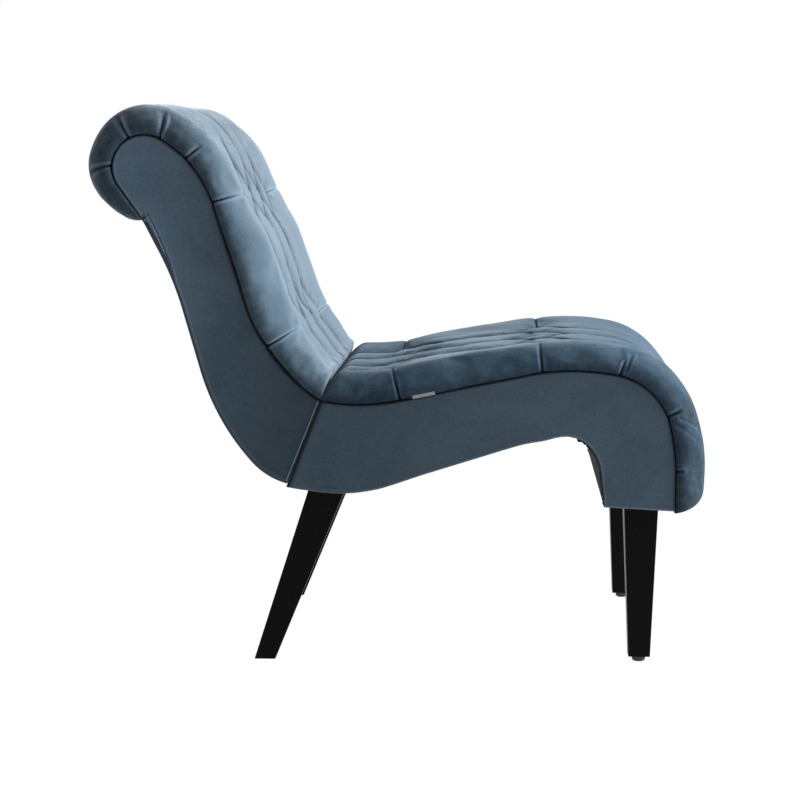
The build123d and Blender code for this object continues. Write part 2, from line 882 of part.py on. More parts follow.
# Tag: a folded strip of tape held in the seam of the seat's right border
with BuildPart() as seam_tag:
    with BuildSketch(side_plane(tag_inset - half_width - soft_clearance)):
        with BuildLine():
            draw_band(stretch(seat_edge, tag_start, tag_start + tag_length), 0.0, tag_height)
        make_face()
    extrude(amount=tag_thickness)
save(seam_tag.part, "seam_tag")
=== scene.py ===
from math import atan2, cos, hypot, radians, sin

import bmesh
import bpy
import numpy as np
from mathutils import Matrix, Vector


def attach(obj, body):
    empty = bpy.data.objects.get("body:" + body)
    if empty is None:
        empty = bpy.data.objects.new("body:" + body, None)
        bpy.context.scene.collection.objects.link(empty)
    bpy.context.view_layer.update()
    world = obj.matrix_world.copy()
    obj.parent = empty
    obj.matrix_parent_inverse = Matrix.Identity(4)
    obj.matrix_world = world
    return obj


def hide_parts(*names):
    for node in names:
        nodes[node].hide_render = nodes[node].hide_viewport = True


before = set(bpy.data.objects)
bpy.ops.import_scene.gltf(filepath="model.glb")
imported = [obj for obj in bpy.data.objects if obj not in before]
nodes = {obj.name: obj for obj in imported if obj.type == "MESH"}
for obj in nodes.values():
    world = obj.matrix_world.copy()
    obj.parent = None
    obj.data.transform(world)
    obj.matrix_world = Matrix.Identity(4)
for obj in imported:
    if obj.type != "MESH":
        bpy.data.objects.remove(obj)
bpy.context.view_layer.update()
scene = bpy.context.scene

# Camera: a long lens on the chair's right side, a little in front of its middle and level with the roll.
# It turns slightly to the rear and looks down, fitted to the near outline and the pleats on both sides.
camera_place = Vector((0.1396, -3.350, 0.7052))
camera_turn = radians(2.568)
camera_dip = radians(6.275)
camera_data = bpy.data.cameras.new("camera")
camera_data.sensor_width = 36.0
camera_data.lens = 102.71
camera = bpy.data.objects.new("camera", camera_data)
camera.location = camera_place
aim = Vector((-sin(camera_turn) * cos(camera_dip), cos(camera_turn) * cos(camera_dip), -sin(camera_dip)))
camera.rotation_mode = "QUATERNION"
camera.rotation_quaternion = aim.to_track_quat("-Z", "Y")
scene.collection.objects.link(camera)
scene.camera = camera

# Inner frame: plywood sides and softwood rails, blocks and dowels, all hidden under the upholstery.
# Sawn and left bare, so they show their grain and no finish.
def new_material(name, colour, roughness):
    """A material with its Principled shader set to a plain colour and roughness."""
    material = bpy.data.materials.new(name)
    material.use_nodes = True
    shader = material.node_tree.nodes["Principled BSDF"]
    shader.inputs["Base Color"].default_value = (*colour, 1.0)
    shader.inputs["Roughness"].default_value = roughness
    return material, material.node_tree, shader


def add(tree, kind, **values):
    """A node of a tree with its named inputs and its own settings filled in."""
    node = tree.nodes.new(kind)
    for name, value in values.items():
        key = name.replace("_", " ")
        if hasattr(node, name):
            setattr(node, name, value)
        else:
            node.inputs[key].default_value = value
    return node


def group_tree(name, inputs, outputs):
    """An empty shader group with its sockets, and its input and output nodes."""
    tree = bpy.data.node_groups.new(name, "ShaderNodeTree")
    for socket, kind, value in inputs:
        made = tree.interface.new_socket(name=socket, in_out="INPUT", socket_type=kind)
        if value is not None:
            made.default_value = value
    for socket, kind in outputs:
        tree.interface.new_socket(name=socket, in_out="OUTPUT", socket_type=kind)
    return tree, tree.nodes.new("NodeGroupInput"), tree.nodes.new("NodeGroupOutput")


def place_group(tree, group, **values):
    """A shader group placed in a tree with its named inputs filled in."""
    node = tree.nodes.new("ShaderNodeGroup")
    node.node_tree = group
    for name, value in values.items():
        node.inputs[name].default_value = value
    return node


def wire(tree, *links):
    """Joins nodes of a tree: each link is a node, its output, another node and its input."""
    for source, output, target, entry in links:
        tree.links.new(source.outputs[output], target.inputs[entry])


def lay_on(tree, *textures):
    """Lays textures on a piece in object space."""
    place = add(tree, "ShaderNodeTexCoord")
    for texture in textures:
        wire(tree, (place, "Object", texture, "Vector"))


def emboss(tree, shader, texture, output, strength, distance):
    """Turns an output of a texture into a shader's relief."""
    bump = add(tree, "ShaderNodeBump", Strength=strength, Distance=distance)
    wire(tree, (texture, output, bump, "Height"), (bump, "Normal", shader, "Normal"))


grain_tree, grain_in, grain_out = group_tree(
    "timber_grain",
    (
        ("Light", "NodeSocketColor", (0.7, 0.55, 0.36, 1.0)),
        ("Dark", "NodeSocketColor", (0.5, 0.36, 0.2, 1.0)),
        ("Stretch", "NodeSocketVector", (40.0, 3.0, 40.0)),
    ),
    (("Color", "NodeSocketColor"), ("Height", "NodeSocketFloat")),
)
grain_scale = add(grain_tree, "ShaderNodeVectorMath", operation="MULTIPLY")
grain_noise = add(grain_tree, "ShaderNodeTexNoise", Scale=2.0, Detail=6.0, Distortion=1.2)
grain_mix = add(grain_tree, "ShaderNodeMix", data_type="RGBA")
lay_on(grain_tree, grain_scale)
wire(
    grain_tree,
    (grain_in, "Stretch", grain_scale, 1),
    (grain_scale, 0, grain_noise, "Vector"),
    (grain_noise, "Fac", grain_mix, "Factor"),
    (grain_in, "Light", grain_mix, "A"),
    (grain_in, "Dark", grain_mix, "B"),
    (grain_mix, "Result", grain_out, "Color"),
    (grain_noise, "Fac", grain_out, "Height"),
)


def timber(name, light, dark, stretch, roughness, relief):
    """Wood with grain stretched along one axis, in two tones, and a slight relief."""
    material, tree, shader = new_material(name, light, roughness)
    grain = place_group(tree, grain_tree, Light=(*light, 1.0), Dark=(*dark, 1.0), Stretch=stretch)
    wire(tree, (grain, "Color", shader, "Base Color"))
    emboss(tree, shader, grain, "Height", relief, distance=0.0006)
    return material


def finish_nodes(material, *names):
    """Gives CAD nodes a material."""
    for name in names:
        nodes[name].data.materials.clear()
        nodes[name].data.materials.append(material)


both_sides = ("left", "right")
plywood = timber(
    "plywood",
    light=(0.72, 0.56, 0.37),
    dark=(0.52, 0.37, 0.21),
    stretch=(8.0, 90.0, 30.0),
    roughness=0.75,
    relief=0.3,
)
softwood = timber(
    "softwood",
    light=(0.76, 0.6, 0.4),
    dark=(0.6, 0.42, 0.24),
    stretch=(60.0, 4.0, 60.0),
    roughness=0.7,
    relief=0.3,
)
finish_nodes(plywood, *(f"{part}_side_frame_{side}" for part in ("back", "seat") for side in both_sides))
finish_nodes(
    softwood,
    "back_bottom_rail",
    "back_waist_rail",
    "back_neck_rail",
    "back_roll_rail",
    "back_frame_dowels",
    "seat_rear_rail",
    "seat_cross_rail",
    "seat_nose_rail",
    "seat_front_rail",
    "seat_frame_dowels",
    *(f"{end}_leg_block_{side}" for end in ("front", "rear") for side in both_sides),
)

# Hardware: zinc plated bolts, washers and flanged nuts, dulled a little by handling.
# They draw the back onto the seat and the legs onto their blocks.
zinc, zinc_tree, zinc_shader = new_material("zinc_plate", (0.62, 0.62, 0.6), 0.38)
zinc_shader.inputs["Metallic"].default_value = 1.0
zinc_noise = add(zinc_tree, "ShaderNodeTexNoise", Scale=260.0, Detail=4.0)
zinc_range = add(zinc_tree, "ShaderNodeMapRange", To_Min=0.28, To_Max=0.5)
lay_on(zinc_tree, zinc_noise)
wire(
    zinc_tree,
    (zinc_noise, "Fac", zinc_range, "Value"),
    (zinc_range, "Result", zinc_shader, "Roughness"),
)
finish_nodes(zinc, "joint_bolts", "joint_washers", "joint_nuts", "leg_hanger_bolts", "leg_nuts")

# Underlay: woven webbing straps and bent hardboard that carry the foam, and the twine of the tuft ties.
# None of it shows once the chair is covered.
weave_tree, weave_in, weave_out = group_tree(
    "plain_weave",
    (("Threads", "NodeSocketFloat", 900.0),),
    (("Height", "NodeSocketFloat"),),
)
weave_wave_a = add(weave_tree, "ShaderNodeTexWave", bands_direction="Y", Distortion=0.4)
weave_wave_b = add(weave_tree, "ShaderNodeTexWave", bands_direction="DIAGONAL", Distortion=0.4)
weave_max = add(weave_tree, "ShaderNodeMath", operation="MAXIMUM")
lay_on(weave_tree, weave_wave_a, weave_wave_b)
for wave, entry in ((weave_wave_a, 0), (weave_wave_b, 1)):
    wire(weave_tree, (weave_in, "Threads", wave, "Scale"), (wave, "Fac", weave_max, entry))
wire(weave_tree, (weave_max, "Value", weave_out, "Height"))


def woven(name, colour, threads, relief):
    """Cloth with a plain weave that shows as a fine relief."""
    material, tree, shader = new_material(name, colour, 0.9)
    weave = place_group(tree, weave_tree, Threads=threads)
    emboss(tree, shader, weave, "Height", relief, distance=0.0004)
    return material


hardboard = timber(
    "hardboard",
    light=(0.4, 0.27, 0.17),
    dark=(0.3, 0.19, 0.11),
    stretch=(50.0, 50.0, 50.0),
    roughness=0.6,
    relief=0.15,
)
webbing = woven("webbing", (0.1, 0.1, 0.1), threads=320.0, relief=0.6)
twine = woven("twine", (0.5, 0.45, 0.36), threads=900.0, relief=0.5)
finish_nodes(hardboard, "back_roll_board", "seat_nose_board")
finish_nodes(webbing, "back_webbing", "seat_webbing")
finish_nodes(twine, "back_tuft_ties", "seat_tuft_ties")

# Foam slabs: cut polyurethane, cream, with an open cell face.
# They lie over the underlay, pierced for the ties.
foam, foam_tree, foam_shader = new_material("foam", (0.86, 0.78, 0.56), 0.95)
foam_cells = add(foam_tree, "ShaderNodeTexVoronoi", Scale=700.0)
lay_on(foam_tree, foam_cells)
emboss(foam_tree, foam_shader, foam_cells, "Distance", strength=0.5, distance=0.0006)
finish_nodes(foam, "back_foam", "seat_foam")

# Legs: square tapers in hardwood, sprayed with black satin lacquer that lets a little grain through.
# The rear pair rakes back, the front pair stands nearly plumb on round plastic glides.
lacquer, lacquer_tree, lacquer_shader = new_material("black_lacquer", (0.0018, 0.0018, 0.0022), 0.32)
lacquer_shader.inputs["Specular IOR Level"].default_value = 0.06
lacquer_map = add(lacquer_tree, "ShaderNodeMapping", Scale=(120.0, 120.0, 5.0))
lacquer_noise = add(lacquer_tree, "ShaderNodeTexNoise", Scale=1.6, Detail=5.0, Distortion=0.6)
lacquer_range = add(lacquer_tree, "ShaderNodeMapRange", To_Min=0.26, To_Max=0.44)
lay_on(lacquer_tree, lacquer_map)
wire(
    lacquer_tree,
    (lacquer_map, "Vector", lacquer_noise, "Vector"),
    (lacquer_noise, "Fac", lacquer_range, "Value"),
    (lacquer_range, "Result", lacquer_shader, "Roughness"),
)
emboss(lacquer_tree, lacquer_shader, lacquer_noise, "Fac", strength=0.12, distance=0.0004)
finish_nodes(lacquer, *(f"{end}_leg_{side}" for end in ("front", "rear") for side in both_sides))
glide, glide_tree, glide_shader = new_material("glide_plastic", (0.02, 0.02, 0.02), 0.5)
glide_noise = add(glide_tree, "ShaderNodeTexNoise", Scale=900.0, Detail=3.0)
lay_on(glide_tree, glide_noise)
emboss(glide_tree, glide_shader, glide_noise, "Fac", strength=0.2, distance=0.0002)
finish_nodes(glide, "front_glides")

# Underside lining: black spunbond cloth stapled up the arch and round the foot, cut rough at its front.
# Side outlines are worked out in millimetres, as tangent runs (x, z, angle, length, bend).
mm = 0.001


def along(run, distance):
    """Place and angle at a distance along one run."""
    x, z, angle, length, bend = run
    if not bend:
        return x + distance * cos(angle), z + distance * sin(angle), angle
    radius = length / bend
    end = angle + distance / radius
    return x + radius * (sin(end) - sin(angle)), z - radius * (cos(end) - cos(angle)), end


def walk(start, heading, steps):
    """Runs from a start point: a step is (length, 0) for a straight or (radius, turn) for an arc."""
    x, z = start
    angle = radians(heading)
    runs = []
    for size, turn in steps:
        bend = radians(turn)
        runs.append((x, z, angle, size * abs(bend) if turn else size, bend))
        x, z, angle = along(runs[-1], runs[-1][3])
    return runs


def reach(runs, target):
    """The runs with a last arc, tangent to them, that ends at a target point."""
    x, z, angle = along(runs[-1], runs[-1][3])
    dx, dz = target[0] - x, target[1] - z
    half = atan2(dz * cos(angle) - dx * sin(angle), dx * cos(angle) + dz * sin(angle))
    return runs + [(x, z, angle, hypot(dx, dz) * half / sin(half), 2 * half)]


def total(runs):
    """Length of an outline."""
    return sum(run[3] for run in runs)


def stations(runs, distances):
    """Rows of x, z and angle at distances along an outline, straight on past its ends."""
    rows = []
    for distance in distances:
        left = distance
        for run in runs[:-1]:
            if left <= run[3]:
                break
            left -= run[3]
        else:
            run = runs[-1]
        inside = max(min(left, run[3]), 0.0)
        x, z, angle = along(run, inside)
        over = left - inside
        rows.append((x + over * cos(angle), z + over * sin(angle), angle))
    return np.array(rows)


def mesh_piece(name, points, faces, material):
    """A smooth mesh of points in millimetres, facing outwards, that rides on the chair."""
    mesh = bpy.data.meshes.new(name)
    mesh.from_pydata([tuple(p) for p in np.asarray(points) * mm], [], [tuple(f) for f in faces])
    shell = bmesh.new()
    shell.from_mesh(mesh)
    bmesh.ops.recalc_face_normals(shell, faces=shell.faces)
    shell.to_mesh(mesh)
    shell.free()
    mesh.shade_smooth()
    mesh.materials.append(material)
    piece = bpy.data.objects.new(name, mesh)
    scene.collection.objects.link(piece)
    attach(piece, "root")
    return piece


def grid_faces(rows, columns, first=0):
    """Quads of a grid of points laid out row by row."""
    corners = [first + r * columns + c for r in range(rows - 1) for c in range(columns - 1)]
    return [(k, k + 1, k + columns + 1, k + columns) for k in corners]


def grid_rim(rows, columns):
    """Points round the edge of such a grid, in order."""
    last_row, last_column = rows - 1, columns - 1
    rim = list(range(columns))
    rim += [r * columns + last_column for r in range(1, rows)]
    rim += [last_row * columns + c for c in range(last_column - 1, -1, -1)]
    rim += [r * columns for r in range(last_row - 1, 0, -1)]
    return rim


def ring_faces(near, far):
    """Quads between two rings with the same number of points."""
    return list(zip(near, near[1:] + near[:1], far[1:] + far[:1], far))


def bell(gap, width):
    """1 at no distance, falling away smoothly to both sides."""
    return np.exp(-((gap / width) ** 2))


crease = (-107.5, 365.0)
joint_length = 120.0
joint_lean = radians(21.8)
joint_gap = 0.4
joint_up = np.array((sin(joint_lean), cos(joint_lean)))
joint_forward = np.array((joint_up[1], -joint_up[0]))
heel = np.array(crease) - joint_length * joint_up
seat_base = 221.0
front_x = 374.9
foot_depth = 96.0
foot_heel = (front_x - foot_depth, seat_base)
arch_edge = reach(
    walk(foot_heel, heading=96.0, steps=((50.0, 0), (55.0, 101.5), (222.0, 0))),
    heel + joint_gap * joint_forward,
)

spunbond, spunbond_tree, spunbond_shader = new_material("black_spunbond", (0.008, 0.008, 0.009), 0.95)
spunbond_cells = add(spunbond_tree, "ShaderNodeTexVoronoi", Scale=420.0)
lay_on(spunbond_tree, spunbond_cells)
emboss(spunbond_tree, spunbond_shader, spunbond_cells, "Distance", strength=0.5, distance=0.0005)

lining_half = 271.0
lining_thickness = 0.8
lining_gap = 0.35
lining_columns = 61
foot_setback = 4.0
foot_overrun = 1.0
foot_count = 24
arch_count = 240
rim_share = 0.04
fray_reach = 5.8
fray_depth = 1.5
fray_start = 6.0
fray_end = 128.0
fray_fade = 40.0
thread_place = 104.0
thread_length = 4.5
thread_width = 1.8
foot_line = np.linspace(front_x - foot_setback, foot_heel[0] + foot_overrun, foot_count)
foot_rows = np.array([(x, seat_base, np.pi) for x in foot_line])
arch_run = np.linspace(0.0, total(arch_edge), arch_count)
lining_path = np.vstack((foot_rows, stations(arch_edge, arch_run)))
lining_run = np.concatenate((np.linspace(-foot_depth, 0.0, foot_count), arch_run))
fray_share = np.clip(lining_run / fray_start, 0.0, 1.0)
fray_share *= np.clip((fray_end - lining_run) / fray_fade, 0.0, 1.0)
fray_noise = np.random.default_rng(3).uniform(-0.9, 1.5, len(lining_run))
fray = fray_share * (fray_depth + fray_noise + thread_length * bell(lining_run - thread_place, thread_width))
lining_points = []
for layer in (lining_gap, lining_gap + lining_thickness):
    for (x, z, angle), share, loose_edge in zip(lining_path, fray_share, fray):
        for y in np.linspace(-1.0, 1.0, lining_columns):
            rim = np.clip((abs(y) - (1.0 - rim_share)) / rim_share, 0.0, 1.0)
            depth = layer - rim * loose_edge
            half = lining_half + fray_reach * share * rim
            lining_points.append((x + depth * sin(angle), y * half, z - depth * cos(angle)))
lining_count = len(lining_path) * lining_columns
lining_faces = grid_faces(len(lining_path), lining_columns)
lining_faces += grid_faces(len(lining_path), lining_columns, lining_count)
lining_rim = grid_rim(len(lining_path), lining_columns)
lining_faces += ring_faces(lining_rim, [k + lining_count for k in lining_rim])
lining = mesh_piece("underside_lining_cloth", lining_points, lining_faces, spunbond)
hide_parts("underside_lining")

# Velvet side covers: flat panels over thin wadding, their edges turned under and stapled.
# The back pair overlaps the seat pair at the slanted joint.
velvet_tree, velvet_in, velvet_out = group_tree(
    "velvet_pile_and_painted_light",
    (
        ("Deep", "NodeSocketColor", (0.03, 0.05, 0.07, 1.0)),
        ("Pale", "NodeSocketColor", (0.05, 0.08, 0.11, 1.0)),
    ),
    (("Color", "NodeSocketColor"), ("Height", "NodeSocketFloat")),
)
velvet_fine = add(velvet_tree, "ShaderNodeTexNoise", Scale=430.0, Detail=3.0, Roughness=0.6)
velvet_grain = add(velvet_tree, "ShaderNodeMapRange", From_Min=0.32, From_Max=0.68)
velvet_broad = add(velvet_tree, "ShaderNodeTexNoise", Scale=7.0, Detail=6.0, Roughness=0.62)
velvet_broad.inputs["Distortion"].default_value = 0.8
velvet_strokes = add(velvet_tree, "ShaderNodeMapRange", From_Min=0.3, From_Max=0.7)
velvet_blend = add(velvet_tree, "ShaderNodeMix", data_type="FLOAT")
velvet_blend.inputs["Factor"].default_value = 0.55
velvet_mix = add(velvet_tree, "ShaderNodeMix", data_type="RGBA")
# The stored light and shade of each point darkens the pile's colour as a painted shade above 0, and makes it
# paler as painted light below 0.
velvet_light_and_shade = add(velvet_tree, "ShaderNodeAttribute", attribute_name="light_shade_and_pile")
velvet_shade = add(velvet_tree, "ShaderNodeMapRange", From_Max=0.85, To_Min=1.0, To_Max=0.1)
velvet_paling = add(velvet_tree, "ShaderNodeMapRange", From_Min=-1.0, From_Max=0.0, To_Min=2.6, To_Max=1.0)
velvet_level = add(velvet_tree, "ShaderNodeMath", operation="MULTIPLY")
velvet_dark = add(velvet_tree, "ShaderNodeVectorMath", operation="SCALE")
lay_on(velvet_tree, velvet_fine, velvet_broad)
wire(
    velvet_tree,
    (velvet_fine, "Fac", velvet_grain, "Value"),
    (velvet_grain, "Result", velvet_blend, "A"),
    (velvet_broad, "Fac", velvet_strokes, "Value"),
    (velvet_strokes, "Result", velvet_blend, "B"),
    (velvet_blend, "Result", velvet_mix, "Factor"),
    (velvet_in, "Deep", velvet_mix, "A"),
    (velvet_in, "Pale", velvet_mix, "B"),
    (velvet_light_and_shade, "Fac", velvet_shade, "Value"),
    (velvet_light_and_shade, "Fac", velvet_paling, "Value"),
    (velvet_shade, "Result", velvet_level, 0),
    (velvet_paling, "Result", velvet_level, 1),
    (velvet_mix, "Result", velvet_dark, 0),
    (velvet_level, "Value", velvet_dark, "Scale"),
    (velvet_dark, "Vector", velvet_out, "Color"),
    (velvet_fine, "Fac", velvet_out, "Height"),
)


def velvet(name, deep, pale, sheen, sheen_roughness):
    """Velvet: a dark pile seen from above that turns pale at a glancing view, with painted light and shade.
    """
    material, tree, shader = new_material(name, deep, 0.9)
    shader.inputs["Specular IOR Level"].default_value = 0.1
    shader.inputs["Sheen Weight"].default_value = sheen
    shader.inputs["Sheen Roughness"].default_value = sheen_roughness
    shader.inputs["Sheen Tint"].default_value = (0.74, 0.88, 1.0, 1.0)
    pile = place_group(tree, velvet_tree, Deep=(*deep, 1.0), Pale=(*pale, 1.0))
    wire(tree, (pile, "Color", shader, "Base Color"))
    emboss(tree, shader, pile, "Height", strength=0.25, distance=0.0008)
    return material


def shade_folds(piece, light_shade_and_pile):
    """Stores painted light and shade at each point: 1 full painted shade, below 0 paler, by painted light
    and pile.
    """
    folds = piece.data.attributes.new("light_shade_and_pile", "FLOAT", "POINT")
    folds.data.foreach_set("value", np.asarray(light_shade_and_pile, dtype=np.float32))


panel_velvet = velvet(
    "panel_velvet",
    deep=(0.034, 0.055, 0.076),
    pale=(0.062, 0.094, 0.124),
    sheen=0.25,
    sheen_roughness=0.45,
)

side_face = 272.0
cover_clearance = 0.1
cover_thickness = 4.4
cover_columns = 281
cover_rows = 61
edge_round = 3.0
edge_lap = 0.3
edge_spacing = 0.5
bead_height = 0.7
bead_place = 2.0
bead_width = 1.1
seat_edge = walk(
    crease,
    heading=-13.0,
    steps=((242.0, 24.5), (185.0, 0), (300.0, -23.5), (88.0, -63.0), (280.0, -15.0), (43.2, 0)),
)
back_edge = walk(
    crease,
    heading=147.0,
    steps=((250.0, -39.0), (141.0, 0), (155.0, 42.0), (43.0, 155.0), (55.0, 0)),
)
neck = along(back_edge[-1], back_edge[-1][3])[:2]
rear_edge = reach(
    walk(heel - joint_gap * joint_forward, heading=165.0, steps=((95.0, -33.0), (318.0, -26.0), (84.0, 0))),
    neck,
)


def eased(count):
    """Shares from 0 to 1, closer together at both ends."""
    return 0.5 - 0.5 * np.cos(np.linspace(0.0, np.pi, count))


def edge_gaps(spots, line):
    """Distances of points from a line, in blocks that fit in memory."""
    run = np.concatenate(([0.0], np.cumsum(np.hypot(*np.diff(line, axis=0).T))))
    marks = np.linspace(0.0, run[-1], max(int(run[-1] / edge_spacing), 2))
    edge = np.column_stack((np.interp(marks, run, line[:, 0]), np.interp(marks, run, line[:, 1])))
    gaps = []
    for block in np.array_split(spots, 40):
        gaps.append(np.hypot(*(block[:, None] - edge[None]).transpose(2, 0, 1)).min(1))
    return np.concatenate(gaps)


def side_cover(name, top, under, outward, inset, edge_shading, light_gradient, sign):
    """A panel ruled between two outlines, with a turned edge round its rim, and closed behind.

    Its four edges, the top, the under, the first and the last one, each have a tone of painted light:
    its strength (above 0 a painted shade, below 0 a painted highlight), its distance from the edge and
    its width. The light gradient gives painted light and shade from the first to the last edge, and the
    hidden back is in full painted shade.
    """
    shares, steps = eased(cover_columns), eased(cover_rows)
    upper = stations(top, shares * total(top))
    lower = stations(under, shares * total(under))
    lap = outward * edge_lap
    above = upper[:, :2] + lap * np.column_stack((-np.sin(upper[:, 2]), np.cos(upper[:, 2])))
    setback = inset(total(under) * (1.0 - shares))
    below = lower[:, :2] + setback[:, None] * np.column_stack((np.sin(lower[:, 2]), -np.cos(lower[:, 2])))
    flat = above[None] + steps[:, None, None] * (below - above)[None]
    spots = flat.reshape(-1, 2)
    gaps = [edge_gaps(spots, line) for line in (flat[0], flat[-1], flat[:, 0], flat[:, -1])]
    gap = np.min(gaps, axis=0)
    inside = np.clip(1.0 - gap / edge_round, 0.0, 1.0)
    bead = bead_height * bell(gap - bead_place, bead_width)
    rise = (cover_thickness - bead_height) * np.sqrt(1.0 - inside**2) + bead
    tone = np.tile(np.interp(shares, (0.0, 1.0), light_gradient), cover_rows)
    for near, (strength, offset, width) in zip(gaps, edge_shading):
        tone += strength * bell(near - offset, width)
    points = np.column_stack((spots[:, 0], sign * (side_face + cover_clearance + rise), spots[:, 1]))
    back = np.column_stack((spots[:, 0], np.full(len(spots), sign * side_face), spots[:, 1]))
    ring = grid_rim(cover_rows, cover_columns)
    behind = [len(points) + k for k in range(len(ring))]
    faces = grid_faces(cover_rows, cover_columns) + ring_faces(ring, behind) + [tuple(behind)]
    piece = mesh_piece(name, np.vstack((points, back[ring])), faces, panel_velvet)
    shade_folds(piece, np.concatenate((np.clip(tone, -1.0, 1.0), np.ones(len(ring)))))
    return piece


strip_width = 10.0
strip_reach = 95.0
strip_power = 0.8
corner_drop = 5.0
arch_sag = 4.5
arch_sag_place = 146.0
arch_sag_width = 26.0
heel_sag = 4.5
heel_sag_reach = 190.0
tip_sag = 3.0
tip_sag_reach = 30.0


def rear_strip(distance):
    """Width of the rear cover's strip that shows beside the back panel, at a distance from the neck."""
    return strip_width * np.clip(1.0 - distance / strip_reach, 0.0, 1.0) ** strip_power


def arch_lap(distance):
    """How far the seat cover hangs below the frame, at a distance from the foot."""
    to_heel = total(arch_edge) - distance
    at_heel = heel_sag * np.clip(1.0 - to_heel / heel_sag_reach, 0.0, 1.0)
    at_heel += tip_sag * np.clip(1.0 - to_heel / tip_sag_reach, 0.0, 1.0)
    return arch_sag * bell(distance - arch_sag_place, arch_sag_width) + at_heel


# Painted light on the panel edges: painted shade in the seams to the pads and in the joint gap on the seat
# panel, and painted highlights along the lower and front edges and the back panel's joint edge.
seam_shade = (0.95, 0.0, 1.8)
edge_highlight = (-0.45, 1.6, 1.0)
joint_back_highlight = (-0.9, 1.7, 1.1)
joint_seat_shade = (1.4, 0.5, 4.2)
arch_back = []
for run in reversed(arch_edge):
    x, z, angle = along(run, run[3])
    arch_back.append((x, z, angle + np.pi, run[3], -run[4]))
cover_front = seat_edge[:-1] + [(*seat_edge[-1][:3], seat_edge[-1][3] + corner_drop, 0.0)]
for side, sign in (("left", 1), ("right", -1)):
    seat_cover = side_cover(
        f"seat_side_velvet_{side}",
        cover_front,
        arch_back,
        outward=1,
        inset=arch_lap,
        edge_shading=(seam_shade, edge_highlight, joint_seat_shade, edge_highlight),
        light_gradient=(0.0, 0.0),
        sign=sign,
    )
    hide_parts(f"seat_side_cover_{side}")
    back_cover = side_cover(
        f"back_side_velvet_{side}",
        back_edge,
        rear_edge,
        outward=-1,
        inset=rear_strip,
        edge_shading=(seam_shade, edge_highlight, joint_back_highlight, seam_shade),
        # Painted light down the back panel: painted shade at its lower end, paler towards the neck.
        light_gradient=(0.38, -0.6),
        sign=sign,
    )
    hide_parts(f"back_side_cover_{side}")

# Rear cover: one velvet panel down the back of the frame, pulled over wadding and round both sides.
# It ends under the roll and is closed at the bottom behind the rear legs.
rear_half = 270.6
rear_inside = 272.2
rear_end_gap = 0.4
rear_lift = 0.4
rear_under = 0.25
rear_corner_wide = 3.2
rear_corner_high = 2.9
rear_crown = 1.2
rear_crown_reach = 60.0
wrap_least = 4.0
wrap_count = 7
thin_share = 0.75
thin_width = 22.0


def tube_faces(rows, columns):
    """Quads round rings of points, with both ends closed."""
    rings = [list(range(r * columns, (r + 1) * columns)) for r in range(rows)]
    faces = []
    for near, far in zip(rings, rings[1:]):
        faces += ring_faces(near, far)
    return faces + [tuple(rings[0]), tuple(rings[-1])]


rear_length = total(rear_edge)
rear_line = np.linspace(0.0, rear_length - rear_end_gap, 140)
rear_rows = stations(rear_edge, rear_line)
wrap_rows = rear_strip(rear_length - rear_line) + wrap_least
thinned = 1.0 - thin_share * bell(rear_length - rear_line, thin_width)
face_y = rear_half * np.sin(np.linspace(-np.pi / 2, np.pi / 2, 101))
crown = rear_crown * (1.0 - np.exp(-(rear_half - np.abs(face_y)) / rear_crown_reach))
face_out = rear_lift + rear_corner_high + crown
corner = np.linspace(0.0, np.pi / 2, 7)[:-1]
corner_y = rear_half + rear_corner_wide * np.cos(corner)
corner_out = rear_lift + rear_corner_high * np.sin(corner)
flange = np.linspace(-1.0, 0.0, wrap_count + 1)[:-1]
outer_y = np.concatenate((np.full(wrap_count, rear_half + rear_corner_wide), corner_y))
inner_y = (rear_inside, rear_inside, -rear_inside, -rear_inside)
rear_points = []
for (x, z, angle), wrap, thin in zip(rear_rows, wrap_rows, thinned):
    outer_out = np.concatenate((flange * wrap + rear_lift, corner_out))
    ring_y = np.concatenate((-outer_y, face_y, outer_y[::-1], inner_y))
    shown = np.concatenate((outer_out, face_out, outer_out[::-1]))
    shown = np.where(shown > rear_lift, rear_lift + thin * (shown - rear_lift), shown)
    ring_out = np.concatenate((shown, (rear_lift - wrap, rear_under, rear_under, rear_lift - wrap)))
    rear_points += [(x - out * sin(angle), y, z + out * cos(angle)) for y, out in zip(ring_y, ring_out)]
rear_faces = tube_faces(len(rear_rows), len(rear_points) // len(rear_rows))
rear_cover = mesh_piece("back_rear_velvet", rear_points, rear_faces, panel_velvet)
shade_folds(rear_cover, np.zeros(len(rear_points)))
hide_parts("back_rear_cover")

# Tufted pads: velvet over fibre wrap, drawn down by blind ties in a diamond lattice.
# It is pleated straight from the outer rows of ties to the crease and over the roll and the nose,
# and its borders are gathered at the side seams.
# The pads' velvet comes in copies whose sheen is cut step by step, a painted shade laid face by face by the
# stored shade; the most shaded faces take a near-black velvet without sheen.
full_shade_cutoff = 0.58
most_shaded_sheen = 0.15
shade_steps = 5


def shaded_velvet_copies(name, deep, pale, sheen, sheen_roughness):
    """One velvet in shaded copies, whose sheen is cut step by step as a painted shade."""
    velvets = []
    for step, share in enumerate(np.linspace(1.0, most_shaded_sheen, shade_steps)):
        velvets.append(velvet(f"{name}_{step}", deep, pale, sheen * share, sheen_roughness))
    return velvets


